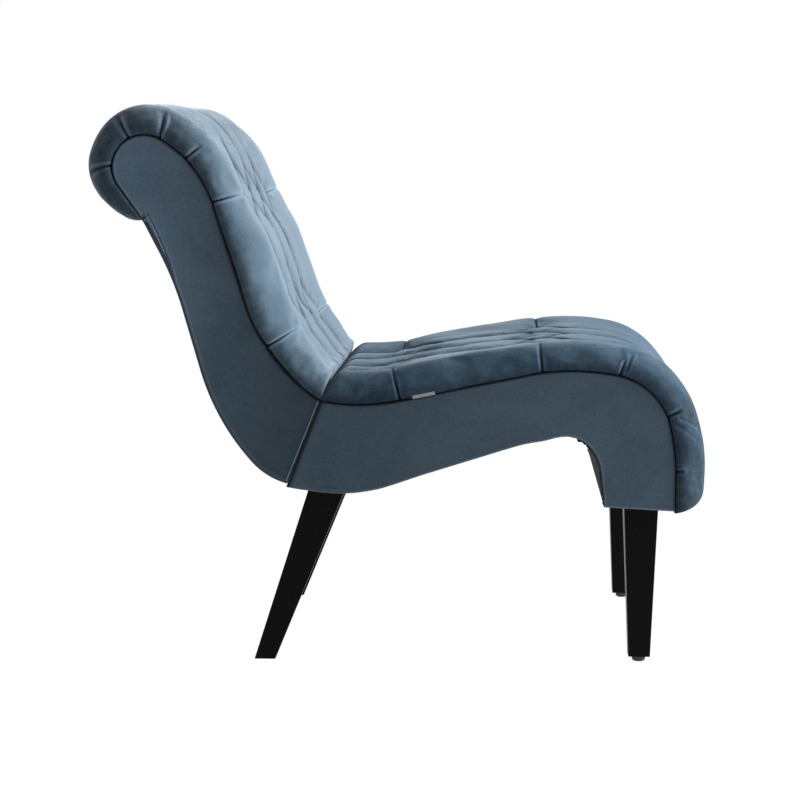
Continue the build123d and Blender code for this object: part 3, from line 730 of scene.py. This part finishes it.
def lay_pile(piece, light_shade_and_pile, velvets, deepest):
    """Gives each face the shaded copy of velvet for its painted shade, the most shaded ones their own
    velvet.

    A face between two steps takes either one at random, so that no border between them shows.
    """
    mesh = piece.data
    corners = np.empty(len(mesh.loops), dtype=np.int32)
    mesh.loops.foreach_get("vertex_index", corners)
    starts = np.empty(len(mesh.polygons), dtype=np.int32)
    mesh.polygons.foreach_get("loop_start", starts)
    sizes = np.diff(np.append(starts, len(corners)))
    depth = np.add.reduceat(light_shade_and_pile[corners], starts) / sizes
    last = len(velvets) - 1
    mingled = np.random.default_rng(11).uniform(0.0, 1.0, len(depth))
    step = np.minimum(np.clip(depth / full_shade_cutoff, 0.0, 1.0) * last + mingled, last).astype(np.int32)
    step[depth > full_shade_cutoff] = last + 1
    for material in (*velvets[1:], deepest):
        mesh.materials.append(material)
    mesh.polygons.foreach_set("material_index", step)


# The back and the seat are one velvet: the back's copy is painted paler and the seat's darker, for how the
# light falls on the pile on each.
back_velvets = shaded_velvet_copies(
    "back_velvet",
    deep=(0.026, 0.052, 0.078),
    pale=(0.074, 0.119, 0.16),
    sheen=1.0,
    sheen_roughness=0.5,
)
seat_velvets = shaded_velvet_copies(
    "seat_velvet",
    deep=(0.017, 0.037, 0.06),
    pale=(0.058, 0.099, 0.138),
    sheen=0.2,
    sheen_roughness=0.4,
)
# A near-black velvet without sheen: painted shade for the most shaded faces and the hidden underside.
painted_shade_velvet = velvet(
    "painted_shade_velvet",
    deep=(0.003, 0.007, 0.011),
    pale=(0.006, 0.012, 0.018),
    sheen=0.0,
    sheen_roughness=0.4,
)

border_top = 236.0
border_reach = 43.0
border_height = 44.0
middle_height = 37.0
slope_start = 150.0
slope_reach = 78.0
bulge_height = 9.0
hem_half = 272.3
hem_height = 0.4


def border_profile():
    """Half section of a pad from the middle to the side hem: distance along it, place across, height."""
    y_top = np.linspace(0.0, border_top, 600)
    share = np.clip((y_top - slope_start) / slope_reach, 0.0, 1.0)
    h_top = middle_height + (border_height - middle_height) * share * share * (3.0 - 2.0 * share)
    upper = np.linspace(np.pi / 2, 0.0, 300)[1:]
    y_side = border_top + border_reach * np.cos(upper)
    h_side = bulge_height + (border_height - bulge_height) * np.sin(upper)
    lower = np.linspace(0.0, np.pi / 2, 200)[1:]
    tuck = border_top + border_reach - hem_half
    y_hem = hem_half + tuck * np.cos(lower)
    h_hem = bulge_height - (bulge_height - hem_height) * np.sin(lower)
    y = np.concatenate((y_top, y_side, y_hem))
    h = np.concatenate((h_top, h_side, h_hem))
    length = np.concatenate(([0.0], np.cumsum(np.hypot(np.diff(y), np.diff(h)))))
    return length, y, h


profile_length, profile_y, profile_h = border_profile()
hem_reach = profile_length[-1]
tuft_pitch = 106.0
rows_of_tufts = ((97.0, 4), (172.0, 3), (266.0, 3), (309.0, 4), (354.0, 3))
neighbour_share = 0.6
end_overrun = 40.0


def lattice_valleys(length):
    """Valleys between the tufts as (s, t, s, t): diagonals, straight runs and pleats to both ends."""
    rows = [(s, [(k - (n - 1) / 2) * tuft_pitch for k in range(n)]) for s, n in rows_of_tufts]
    valleys = [(-end_overrun, t, rows[0][0], t) for t in rows[0][1]]
    valleys += [(rows[-1][0], t, length + end_overrun, t) for t in rows[-1][1]]
    for (s0, near), (s1, far) in zip(rows, rows[1:]):
        for a in near:
            for b in far:
                if abs(a - b) < neighbour_share * tuft_pitch:
                    valleys.append((s0, a, s1, b))
    return valleys, [(s, t) for s, spots in rows for t in spots]


def away(s, t, segment):
    """Distance of points from a segment, the share along it, and which side they lie on."""
    s0, t0, s1, t1 = segment
    run, rise = s1 - s0, t1 - t0
    length = hypot(run, rise)
    share = np.clip(((s - s0) * run + (t - t0) * rise) / length**2, 0.0, 1.0)
    gap = np.hypot(s - s0 - share * run, t - t0 - share * rise)
    side = ((s - s0) * rise - (t - t0) * run) / length
    return gap, share, side


grid_step = 1.9
grid_fine = 0.8
grid_spread = 8.0
height_window = np.hanning(41)


def crowded(length, places):
    """Distances along a pad, closer together near the given places."""
    line = np.linspace(-2.0, length + 2.0, 6000)
    near = np.zeros_like(line)
    for place in places:
        near = np.maximum(near, bell(line - place, grid_spread))
    density = 1.0 / (grid_step + (grid_fine - grid_step) * near)
    count = np.concatenate(([0.0], np.cumsum((density[1:] + density[:-1]) / 2 * np.diff(line))))
    start, stop = np.interp((0.0, length), line, count)
    return np.interp(np.linspace(start, stop, int(stop - start) + 1), count, line)


def smoothed(line, window):
    """A row of values averaged over a window, its ends held."""
    held_line = np.pad(line, len(window) // 2, mode="edge")
    return np.convolve(held_line, window / window.sum(), "valid")


def eased_heights(places, heights):
    """Border heights along a pad, eased between those of a list of (distance, height)."""
    distances, levels = zip(*heights)
    fine = np.arange(-40.0, 760.0)
    level = smoothed(np.interp(fine, distances, levels), height_window)
    return np.interp(places, fine, level)


swell_limit = 3.4
swell_window = np.hanning(15)
cloth_spacing = 4
cloth_frames = 20
least_grip = 0.06


def swollen(points, held, top):
    """How far a cover swells between its ties and seams: cloth under pressure, on a coarser grid."""
    rows, columns = points.shape[:2]
    kept_rows = np.unique(np.append(np.arange(0, rows, cloth_spacing), rows - 1))
    kept_columns = np.unique(np.append(np.arange(0, columns, cloth_spacing), columns - 1))
    start = points[np.ix_(kept_rows, kept_columns)]
    faces = grid_faces(len(kept_rows), len(kept_columns))
    middle = len(kept_rows) // 2, len(kept_columns) // 2
    ahead = start[middle[0] + 1, middle[1]] - start[middle]
    aside = start[middle[0], middle[1] + 1] - start[middle]
    if np.dot(np.cross(aside, ahead), top) < 0.0:
        faces = [face[::-1] for face in faces]
    mesh = bpy.data.meshes.new("swelling_cover")
    mesh.from_pydata([tuple(p) for p in start.reshape(-1, 3) * mm], [], faces)
    cover = bpy.data.objects.new("swelling_cover", mesh)
    scene.collection.objects.link(cover)
    ties = cover.vertex_groups.new(name="ties")
    for k, grip in enumerate(held[np.ix_(kept_rows, kept_columns)].ravel()):
        if grip > least_grip:
            ties.add([k], min(float(grip), 1.0), "REPLACE")
    settings = cover.modifiers.new("cloth", "CLOTH").settings
    settings.quality = 6
    settings.mass = 0.25
    settings.tension_stiffness = 18.0
    settings.compression_stiffness = 18.0
    settings.shear_stiffness = 6.0
    settings.bending_stiffness = 0.4
    settings.shrink_min = -0.02
    settings.vertex_group_mass = "ties"
    settings.use_pressure = True
    settings.uniform_pressure_force = 4.0
    settings.effector_weights.gravity = 0.0
    for number in range(1, cloth_frames + 1):
        scene.frame_set(number)
    ready = cover.evaluated_get(bpy.context.evaluated_depsgraph_get())
    settled = np.array([tuple(v.co) for v in ready.data.vertices]).reshape(start.shape) / mm
    bpy.data.objects.remove(cover)
    bpy.data.meshes.remove(mesh)
    scene.frame_set(1)
    shift = settled - start
    wide = np.empty((len(kept_rows), columns, 3))
    full = np.empty((rows, columns, 3))
    for axis in range(3):
        for r in range(len(kept_rows)):
            row = np.interp(np.arange(columns), kept_columns, shift[r, :, axis])
            wide[r, :, axis] = smoothed(row, swell_window)
        for c in range(columns):
            column = np.interp(np.arange(rows), kept_rows, wide[:, c, axis])
            full[:, c, axis] = smoothed(column, swell_window)
    size = np.maximum(np.linalg.norm(full, axis=2), 1e-6)
    limited = swell_limit * np.tanh(size / swell_limit) / size
    return full * (limited * (1.0 - np.minimum(held, 1.0)))[:, :, None]


hem_grip = 14.0
start_grip = 12.0
end_grip = 16.0
tie_grip = 5.0
valley_depth = 7.5
valley_round = 0.8
valley_wide = 13.0
valley_narrow = 2.6
valley_line = 2.2
valley_line_shade = 0.74
valley_side = 9.0
valley_side_shade = 0.56
tuft_depth = 4.0
tuft_reach = 8.0
tuft_dark = 5.0
tuft_shade = 0.75
pucker_height = 0.25
pucker_place = 16.0
pucker_width = 10.0


def tufted_relief(s, t, length):
    """The lattice of a pad: how deep each point is sunk, its puckers, its painted shade and the grip on it.
    """
    valleys, tufts = lattice_valleys(length)
    sunk = np.zeros_like(s)
    lip = np.zeros_like(s)
    light_shade_and_pile = np.zeros_like(s)
    held = np.maximum(bell(hem_reach - np.abs(t), hem_grip), bell(s, start_grip))
    held = np.maximum(held, bell(length - s, end_grip))
    for valley in valleys:
        gap = away(s, t, valley)[0]
        held = np.maximum(held, bell(gap, tie_grip))
        soft = np.sqrt(gap**2 + valley_round**2)
        across = 0.5 * np.exp(-soft / valley_wide) + 0.5 * np.exp(-soft / valley_narrow)
        sunk += (valley_depth * across) ** 3
        # Painted shade along each valley and down its sides.
        light_shade_and_pile = np.maximum(light_shade_and_pile, valley_line_shade * bell(gap, valley_line))
        light_shade_and_pile = np.maximum(light_shade_and_pile, valley_side_shade * np.exp(-gap / valley_side))
    sunk = np.cbrt(sunk)
    for place, spot in tufts:
        gap = np.hypot(s - place, t - spot)
        turn = np.arctan2(t - spot, s - place)
        sunk += tuft_depth * bell(gap, tuft_reach)
        pucker = np.cos(9.0 * turn + place) + 0.6 * np.cos(14.0 * turn - spot)
        lip += pucker_height * pucker * bell(gap - pucker_place, pucker_width)
        # Painted shade round each tuft.
        light_shade_and_pile = np.maximum(light_shade_and_pile, tuft_shade * bell(gap, tuft_dark))
    return sunk, lip, light_shade_and_pile, held


pleat_start = 1.5 * tuft_pitch
pleat_crest = 1.8
pleat_tuft = 3.6
pleat_depth = 7.0
pleat_wide = 7.0
gather_overrun = 5.0
gather_start = 0.4
gather_wide = 6.0


def border_folds(side_pleats, gathers, creases):
    """Folds of both borders: (s, t, s, t), depth at each end, width, and 1 where a tie draws the fold in."""
    folds = []
    for way in (-1, 1):
        for place, tuft_row in side_pleats:
            ends = (tuft_row, way * pleat_start, place, way * hem_reach)
            folds.append((ends, pleat_crest, pleat_depth, pleat_wide, 1.0))
        for place, inner, depth, lean in gathers:
            ends = (place + lean, way * inner, place, way * (hem_reach + gather_overrun))
            folds.append((ends, gather_start, depth, gather_wide, 0.0))
        for s0, t0, s1, t1, depth, wide in creases:
            folds.append(((s0, way * t0, s1, way * t1), depth, depth, wide, 0.0))
    return folds


fold_round = 0.5
fold_narrow = 1.4
fold_line = 1.7
full_grip = 3.0
loosest = 0.65
lip_share = 0.09
lip_place = 3.4
lip_width = 1.5
lip_far_share = 0.35
# A painted highlight along the lip beside a fold: its place, width, the depth at which it is full, and its
# share on the far side.
pale_place = 3.6
pale_width = 1.5
pale_depth = 5.0
pale_far_share = 0.6


def sew_fold(s, t, fold_facts, relief):
    """Adds a border fold to a pad: its groove, a lip on both sides, its painted shade, highlight and grip.
    """
    ends, depth_in, depth_out, wide, drawn = fold_facts
    sunk, lip, light_shade_and_pile, pale, held = relief
    gap, share, side = away(s, t, ends)
    from_middle = np.abs(2.0 * share - 1.0)
    rising = np.minimum(1.0, 2.5 * share)
    rising += drawn * (from_middle**1.5 - rising)
    deepest = np.where(drawn * (share < 0.5), pleat_tuft, depth_out)
    depth = depth_in + (deepest - depth_in) * rising
    grip = np.minimum(1.0, depth / full_grip) * (1.0 - loosest * drawn * (1.0 - from_middle))
    soft = np.sqrt(gap**2 + fold_round**2)
    groove = depth * (0.4 * np.exp(-soft / wide) + 0.6 * bell(gap, fold_narrow))
    raised = lip_share * depth * bell(gap - lip_place, lip_width) * np.where(side > 0, 1.0, lip_far_share)
    # Painted shade along the fold line.
    shade = np.minimum(0.66 + 0.1 * drawn, 0.15 + depth / 8.0) * bell(gap, fold_line)
    # A painted highlight along the lip beside the fold, weaker on the far side.
    lip_highlight = np.minimum(1.0, depth / pale_depth) * bell(gap - pale_place, pale_width)
    lip_highlight = lip_highlight * np.where(side > 0, 1.0, pale_far_share)
    held = np.maximum(held, grip * bell(gap, tie_grip))
    return sunk + groove, lip + raised, np.maximum(light_shade_and_pile, shade), np.maximum(pale, lip_highlight), held


def ripples(rng, s, t, count, pace, height):
    """A sum of random waves over a pad."""
    waves = np.zeros_like(s)
    for wave in range(count):
        across, down = rng.normal(0.0, pace, 2)
        waves += np.sin(down * s + across * t + rng.uniform(0.0, 6.28)) * height
    return waves


middle_half = 192.0
border_blend = 40.0
darkest_tone = 0.56
hem_dark = 0.95
hem_dark_width = 6.0
lip_highlight_tone = 0.7
lip_fade = 12.0


def painted_light_and_pile(s, t, light_shade_and_pile, pale, mottle, hem_shade, pile_and_light_tones):
    """The painted light and shade of a pad, with the random tones of its pile: its fold shade, a painted
    shade that darkens each border towards its hem, and painted highlights along its folds' lips.

    The hem shade is the painted shade at the hem and how far it fades. The pile and light tones list
    (distance along the pad, tone on the border's crest, tone in the middle), below 0 paler and above 0
    darker: partly the brushed pile and partly painted light.
    """
    hem_tone, hem_fade = hem_shade
    places, crest_tones, middle_tones = zip(*pile_and_light_tones)
    to_hem = hem_reach - np.abs(t)
    climb = np.clip(to_hem / hem_fade, 0.0, 1.0)
    on_border = np.clip((np.abs(t) - middle_half) / border_blend, 0.0, 1.0)
    tone = on_border * (hem_tone + climb * (np.interp(s, places, crest_tones) - hem_tone))
    tone += (1.0 - on_border) * np.interp(s, places, middle_tones)
    tone = np.minimum(tone + mottle, darkest_tone)
    light_shade_and_pile = np.maximum(light_shade_and_pile + np.minimum(tone, 0.0) * (1.0 - light_shade_and_pile), tone)
    # A painted shade line along the hem seam.
    light_shade_and_pile = np.maximum(light_shade_and_pile, hem_dark * bell(to_hem, hem_dark_width))
    # Painted highlights along the folds' lips, fading out towards the hem.
    lip_highlights = lip_highlight_tone * pale * np.clip(1.0 - 2.0 * (light_shade_and_pile - 0.5), 0.0, 1.0)
    return light_shade_and_pile - lip_highlights * np.clip(to_hem / lip_fade, 0.0, 1.0)


end_count = 26
middle_spacing = tuft_pitch / 60
border_count = 54
end_width = 0.8
hem_calm = 6.0
lift_width = 45.0
lift_edge = 225.0
lift_blend = 50.0
mitre_reach = 18.0
pad_roof = 14.6
pad_recess = 269.8


def tufted_pad(
    name, velvets, seam, outward, over, heights, crest_lift, hem_shade, pile_and_light_tones,
    side_pleats, gathers, creases, start_round, end_round,
):
    """A pad over a seam outline, with rounded ends, tufts, side pleats, border gathers and short creases.

    Points are laid out by their distance s along the seam and t across the pad, measured over its surface.
    """
    length = total(seam) + over
    start_reach, start_share = start_round
    round_reach, round_power = end_round
    body = crowded(length - round_reach, [place[0] for place in side_pleats + gathers])
    cap = length - round_reach * (1.0 - np.sin(np.linspace(0.0, np.pi / 2, end_count)))[1:]
    s_line = np.concatenate((body, cap))
    t_middle = np.arange(0.0, border_top, middle_spacing)
    t_half = np.concatenate((t_middle, np.linspace(border_top, hem_reach, border_count)))
    t_line = np.concatenate((-t_half[:0:-1], t_half))
    s, t = np.meshgrid(s_line, t_line, indexing="ij")
    sunk, lip, light_shade_and_pile, held = tufted_relief(s, t, length)
    pale = np.zeros_like(s)
    for fold_facts in border_folds(side_pleats, gathers, creases):
        sunk, lip, light_shade_and_pile, pale, held = sew_fold(s, t, fold_facts, (sunk, lip, light_shade_and_pile, pale, held))
    rng = np.random.default_rng(7)
    loose = ripples(rng, s, t, count=14, pace=0.045, height=0.28)
    mottle = ripples(rng, s, t, count=26, pace=0.28, height=0.014)
    light_shade_and_pile = painted_light_and_pile(s, t, light_shade_and_pile, pale, mottle, hem_shade, pile_and_light_tones)
    begin = np.clip(1.0 - s_line / start_reach, 0.0, 1.0)
    finish = np.clip(1.0 - (length - s_line) / round_reach, 0.0, 1.0)
    ending = (1.0 - finish**round_power) ** (1.0 / round_power)
    full = start_share + (1.0 - start_share) * np.sqrt(1.0 - begin**2)
    full *= np.maximum(ending, 0.01) * eased_heights(s_line, heights) / border_height
    y = np.sign(t_line) * np.interp(np.abs(t_line), profile_length, profile_y)
    h = np.interp(np.abs(t_line), profile_length, profile_h)
    dy, dh = np.gradient(y, t_line), np.gradient(h, t_line)
    normal_y, normal_h = -dh / np.hypot(dy, dh), dy / np.hypot(dy, dh)
    push = (-sunk + lip + loose) * np.minimum(full, 1.0)[:, None]
    push *= np.clip((hem_reach - np.abs(t)) / hem_calm, 0.0, 1.0)
    inner = np.clip(np.abs(y), 0.0, border_top)
    narrowed = (end_width + (1.0 - end_width) * ending)[:, None]
    wide = np.sign(y)[None] * (inner[None] + (np.abs(y) - inner)[None] * narrowed) + push * normal_y[None]
    lift_place, lift_height = crest_lift
    lift = bell(s_line - lift_place, lift_width) * lift_height
    high = h[None] * full[:, None] + push * normal_h[None]
    high += lift[:, None] * np.clip((lift_edge - np.abs(t)) / lift_blend, 0.0, 1.0)
    track = stations(seam, s_line)
    square = np.arctan2(outward * np.cos(track[:, 2]), -outward * np.sin(track[:, 2]))
    mitre = atan2(joint_up[1], joint_up[0]) - square[0]
    up = square + mitre * np.exp(-s_line / mitre_reach)
    under_y = np.array((pad_recess, pad_recess, -pad_recess, -pad_recess))
    under_h = np.array((hem_height, pad_roof, pad_roof, hem_height))
    wide = np.hstack((wide, np.tile(under_y, (len(s_line), 1))))
    high = np.hstack((high, np.tile(under_h, (len(s_line), 1)) * np.minimum(full, 1.0)[:, None]))
    # The hidden underside is given full painted shade.
    light_shade_and_pile = np.hstack((light_shade_and_pile, np.ones((len(s_line), len(under_y))))).ravel()
    x = track[:, 0][:, None] + high * np.cos(up)[:, None]
    z = track[:, 1][:, None] + high * np.sin(up)[:, None]
    points = np.stack((x, wide, z), axis=2)
    rows, columns = points.shape[:2]
    cover = points[:, : len(t_line)]
    middle_up = up[rows // 2]
    cover += swollen(cover, held, (cos(middle_up), 0.0, sin(middle_up)))
    piece = mesh_piece(name, points.reshape(-1, 3), tube_faces(rows, columns), velvets[0])
    shade_folds(piece, light_shade_and_pile)
    lay_pile(piece, light_shade_and_pile, velvets, painted_shade_velvet)
    return piece


back_pad = tufted_pad(
    "back_velvet_pad",
    back_velvets,
    back_edge,
    outward=-1,
    over=0.0,
    heights=[(0.0, 41.5), (20.0, 38.0), (40.0, 41.0), (60.0, 45.2), (80.0, 47.0), (104.0, 52.0),
             (140.0, 51.6), (200.0, 51.0), (230.0, 51.4), (250.0, 49.4), (280.0, 42.0), (330.0, 36.0),
             (366.0, 41.6), (400.0, 43.4), (430.0, 42.0), (467.0, 37.6), (498.0, 35.4), (515.0, 38.8),
             (535.0, 33.0), (565.0, 26.0), (585.0, 18.5), (596.0, 11.0)],
    crest_lift=(420.0, 12.0),
    hem_shade=(0.5, 68.0),
    pile_and_light_tones=[(0.0, 0.0, -0.1), (60.0, -0.1, -0.1), (110.0, -0.6, -0.1), (260.0, -0.65, -0.1),
              (320.0, -0.5, -0.05), (400.0, 0.24, 0.14), (440.0, 0.26, 0.26), (600.0, 0.25, 0.26)],
    side_pleats=[(104.0, 97.0), (313.0, 309.0)],
    gathers=[(382.0, 274.0, 6.0, -2.0), (424.0, 258.0, 7.0, 9.0), (467.0, 258.0, 7.0, 2.0),
             (511.0, 256.0, 6.0, 9.0)],
    creases=[],
    start_round=(12.0, 0.85),
    end_round=(16.0, 2.2),
)
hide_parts("back_tufted_pad")
seat_pad = tufted_pad(
    "seat_velvet_pad",
    seat_velvets,
    seat_edge,
    outward=1,
    over=8.0,
    heights=[(0.0, 38.5), (60.0, 39.0), (100.0, 41.4), (140.0, 41.2), (180.0, 40.4), (220.0, 40.6),
             (260.0, 37.4), (300.0, 36.2), (360.0, 34.6), (400.0, 35.8), (430.0, 38.2), (455.0, 38.3),
             (475.0, 36.6), (492.0, 38.4), (520.0, 40.4), (540.0, 40.8), (560.0, 39.6), (580.0, 38.4),
             (605.0, 38.3), (633.0, 39.6)],
    crest_lift=(150.0, 4.0),
    hem_shade=(0.53, 52.0),
    pile_and_light_tones=[(0.0, 0.34, 0.0), (80.0, 0.16, -0.1), (150.0, -0.75, -0.1), (280.0, -0.75, -0.1),
              (350.0, 0.1, -0.15), (440.0, 0.08, -0.1), (500.0, 0.42, 0.0), (560.0, 0.5, 0.1),
              (640.0, 0.56, 0.2)],
    side_pleats=[(111.0, 101.0), (307.0, 309.0)],
    gathers=[(411.0, 274.0, 7.0, 3.0), (500.0, 280.0, 7.0, -2.0), (575.0, 292.0, 5.0, 0.0)],
    creases=[(417.0, 296.0, 420.0, 262.0, 3.0, 4.0), (506.0, 288.0, 522.0, 258.0, 1.8, 5.0),
             (512.0, 298.0, 534.0, 270.0, 1.2, 5.0)],
    start_round=(30.0, 0.42),
    end_round=(30.0, 2.6),
)
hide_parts("seat_tufted_pad")

# Seam tag: a short folded tape sewn into the seat's right seam, plain pale grey with no marks.
# It stands off the border by the thickness of its fold.
tag_cloth = woven("tag_tape", (0.25, 0.26, 0.28), threads=2600.0, relief=0.4)
finish_nodes(tag_cloth, "seam_tag")

# Floor and light: a floor and a surround that the camera sees as white, with a broad soft key in front of
# the chair and a weak fill above the camera's side. The surround gives more light from the front.
def seen_rays(tree):
    """A node that is 1 where the camera looks, straight or by a mirror or glass, and 0 for other light."""
    rays = add(tree, "ShaderNodeLightPath")
    either = add(tree, "ShaderNodeMath", operation="MAXIMUM")
    seen = add(tree, "ShaderNodeMath", operation="MAXIMUM")
    wire(
        tree,
        (rays, "Is Camera Ray", either, 0),
        (rays, "Is Glossy Ray", either, 1),
        (either, "Value", seen, 0),
        (rays, "Is Transmission Ray", seen, 1),
    )
    return seen


floor_half = 9.0
floor_corners = [(x * floor_half, y * floor_half, 0.0) for x, y in ((-1, -1), (1, -1), (1, 1), (-1, 1))]
floor_mesh = bpy.data.meshes.new("floor")
floor_mesh.from_pydata(floor_corners, [], [(0, 1, 2, 3)])
floor_material, floor_tree, floor_shader = new_material("studio_floor", (0.6, 0.6, 0.6), 0.9)
floor_share = add(floor_tree, "ShaderNodeMath", operation="MULTIPLY")
floor_share.inputs[1].default_value = 0.95
floor_white = add(floor_tree, "ShaderNodeEmission", Strength=1.04)
floor_mix = add(floor_tree, "ShaderNodeMixShader")
wire(
    floor_tree,
    (seen_rays(floor_tree), "Value", floor_share, 0),
    (floor_share, "Value", floor_mix, "Fac"),
    (floor_shader, "BSDF", floor_mix, 1),
    (floor_white, "Emission", floor_mix, 2),
    (floor_mix, "Shader", floor_tree.nodes["Material Output"], "Surface"),
)
floor_mesh.materials.append(floor_material)
floor = bpy.data.objects.new("floor", floor_mesh)
scene.collection.objects.link(floor)

world = bpy.data.worlds.new("studio")
world.use_nodes = True
world_tree = world.node_tree
surround = world_tree.nodes["Background"]
surround.inputs["Color"].default_value = (1.0, 1.0, 1.0, 1.0)
world_place = add(world_tree, "ShaderNodeTexCoord")
world_facing = add(world_tree, "ShaderNodeVectorMath", operation="DOT_PRODUCT")
world_facing.inputs[1].default_value = (0.86, 0.3, 0.41)
world_range = add(world_tree, "ShaderNodeMapRange", From_Min=-1.0, From_Max=1.0, To_Min=0.05, To_Max=0.46)
world_white = add(world_tree, "ShaderNodeBackground", Color=(1.0, 1.0, 1.0, 1.0), Strength=1.0)
world_mix = add(world_tree, "ShaderNodeMixShader")
wire(
    world_tree,
    (world_place, "Generated", world_facing, 0),
    (world_facing, "Value", world_range, "Value"),
    (world_range, "Result", surround, "Strength"),
    (seen_rays(world_tree), "Value", world_mix, "Fac"),
    (surround, "Background", world_mix, 1),
    (world_white, "Background", world_mix, 2),
    (world_mix, "Shader", world_tree.nodes["World Output"], "Surface"),
)
scene.world = world


def soft_light(name, place, size, power):
    """A square area light that faces the middle of the chair."""
    data = bpy.data.lights.new(name, "AREA")
    data.shape = "SQUARE"
    data.size = size
    data.energy = power
    lamp = bpy.data.objects.new(name, data)
    lamp.location = place
    lamp.rotation_mode = "QUATERNION"
    lamp.rotation_quaternion = (Vector((0.0, 0.0, 0.5)) - Vector(place)).to_track_quat("-Z", "Y")
    scene.collection.objects.link(lamp)


soft_light("key", (2.5, -0.2, 1.4), size=1.4, power=195.0)
soft_light("fill", (0.2, -2.8, 2.6), size=2.0, power=20.0)
scene.view_settings.view_transform = "Standard"
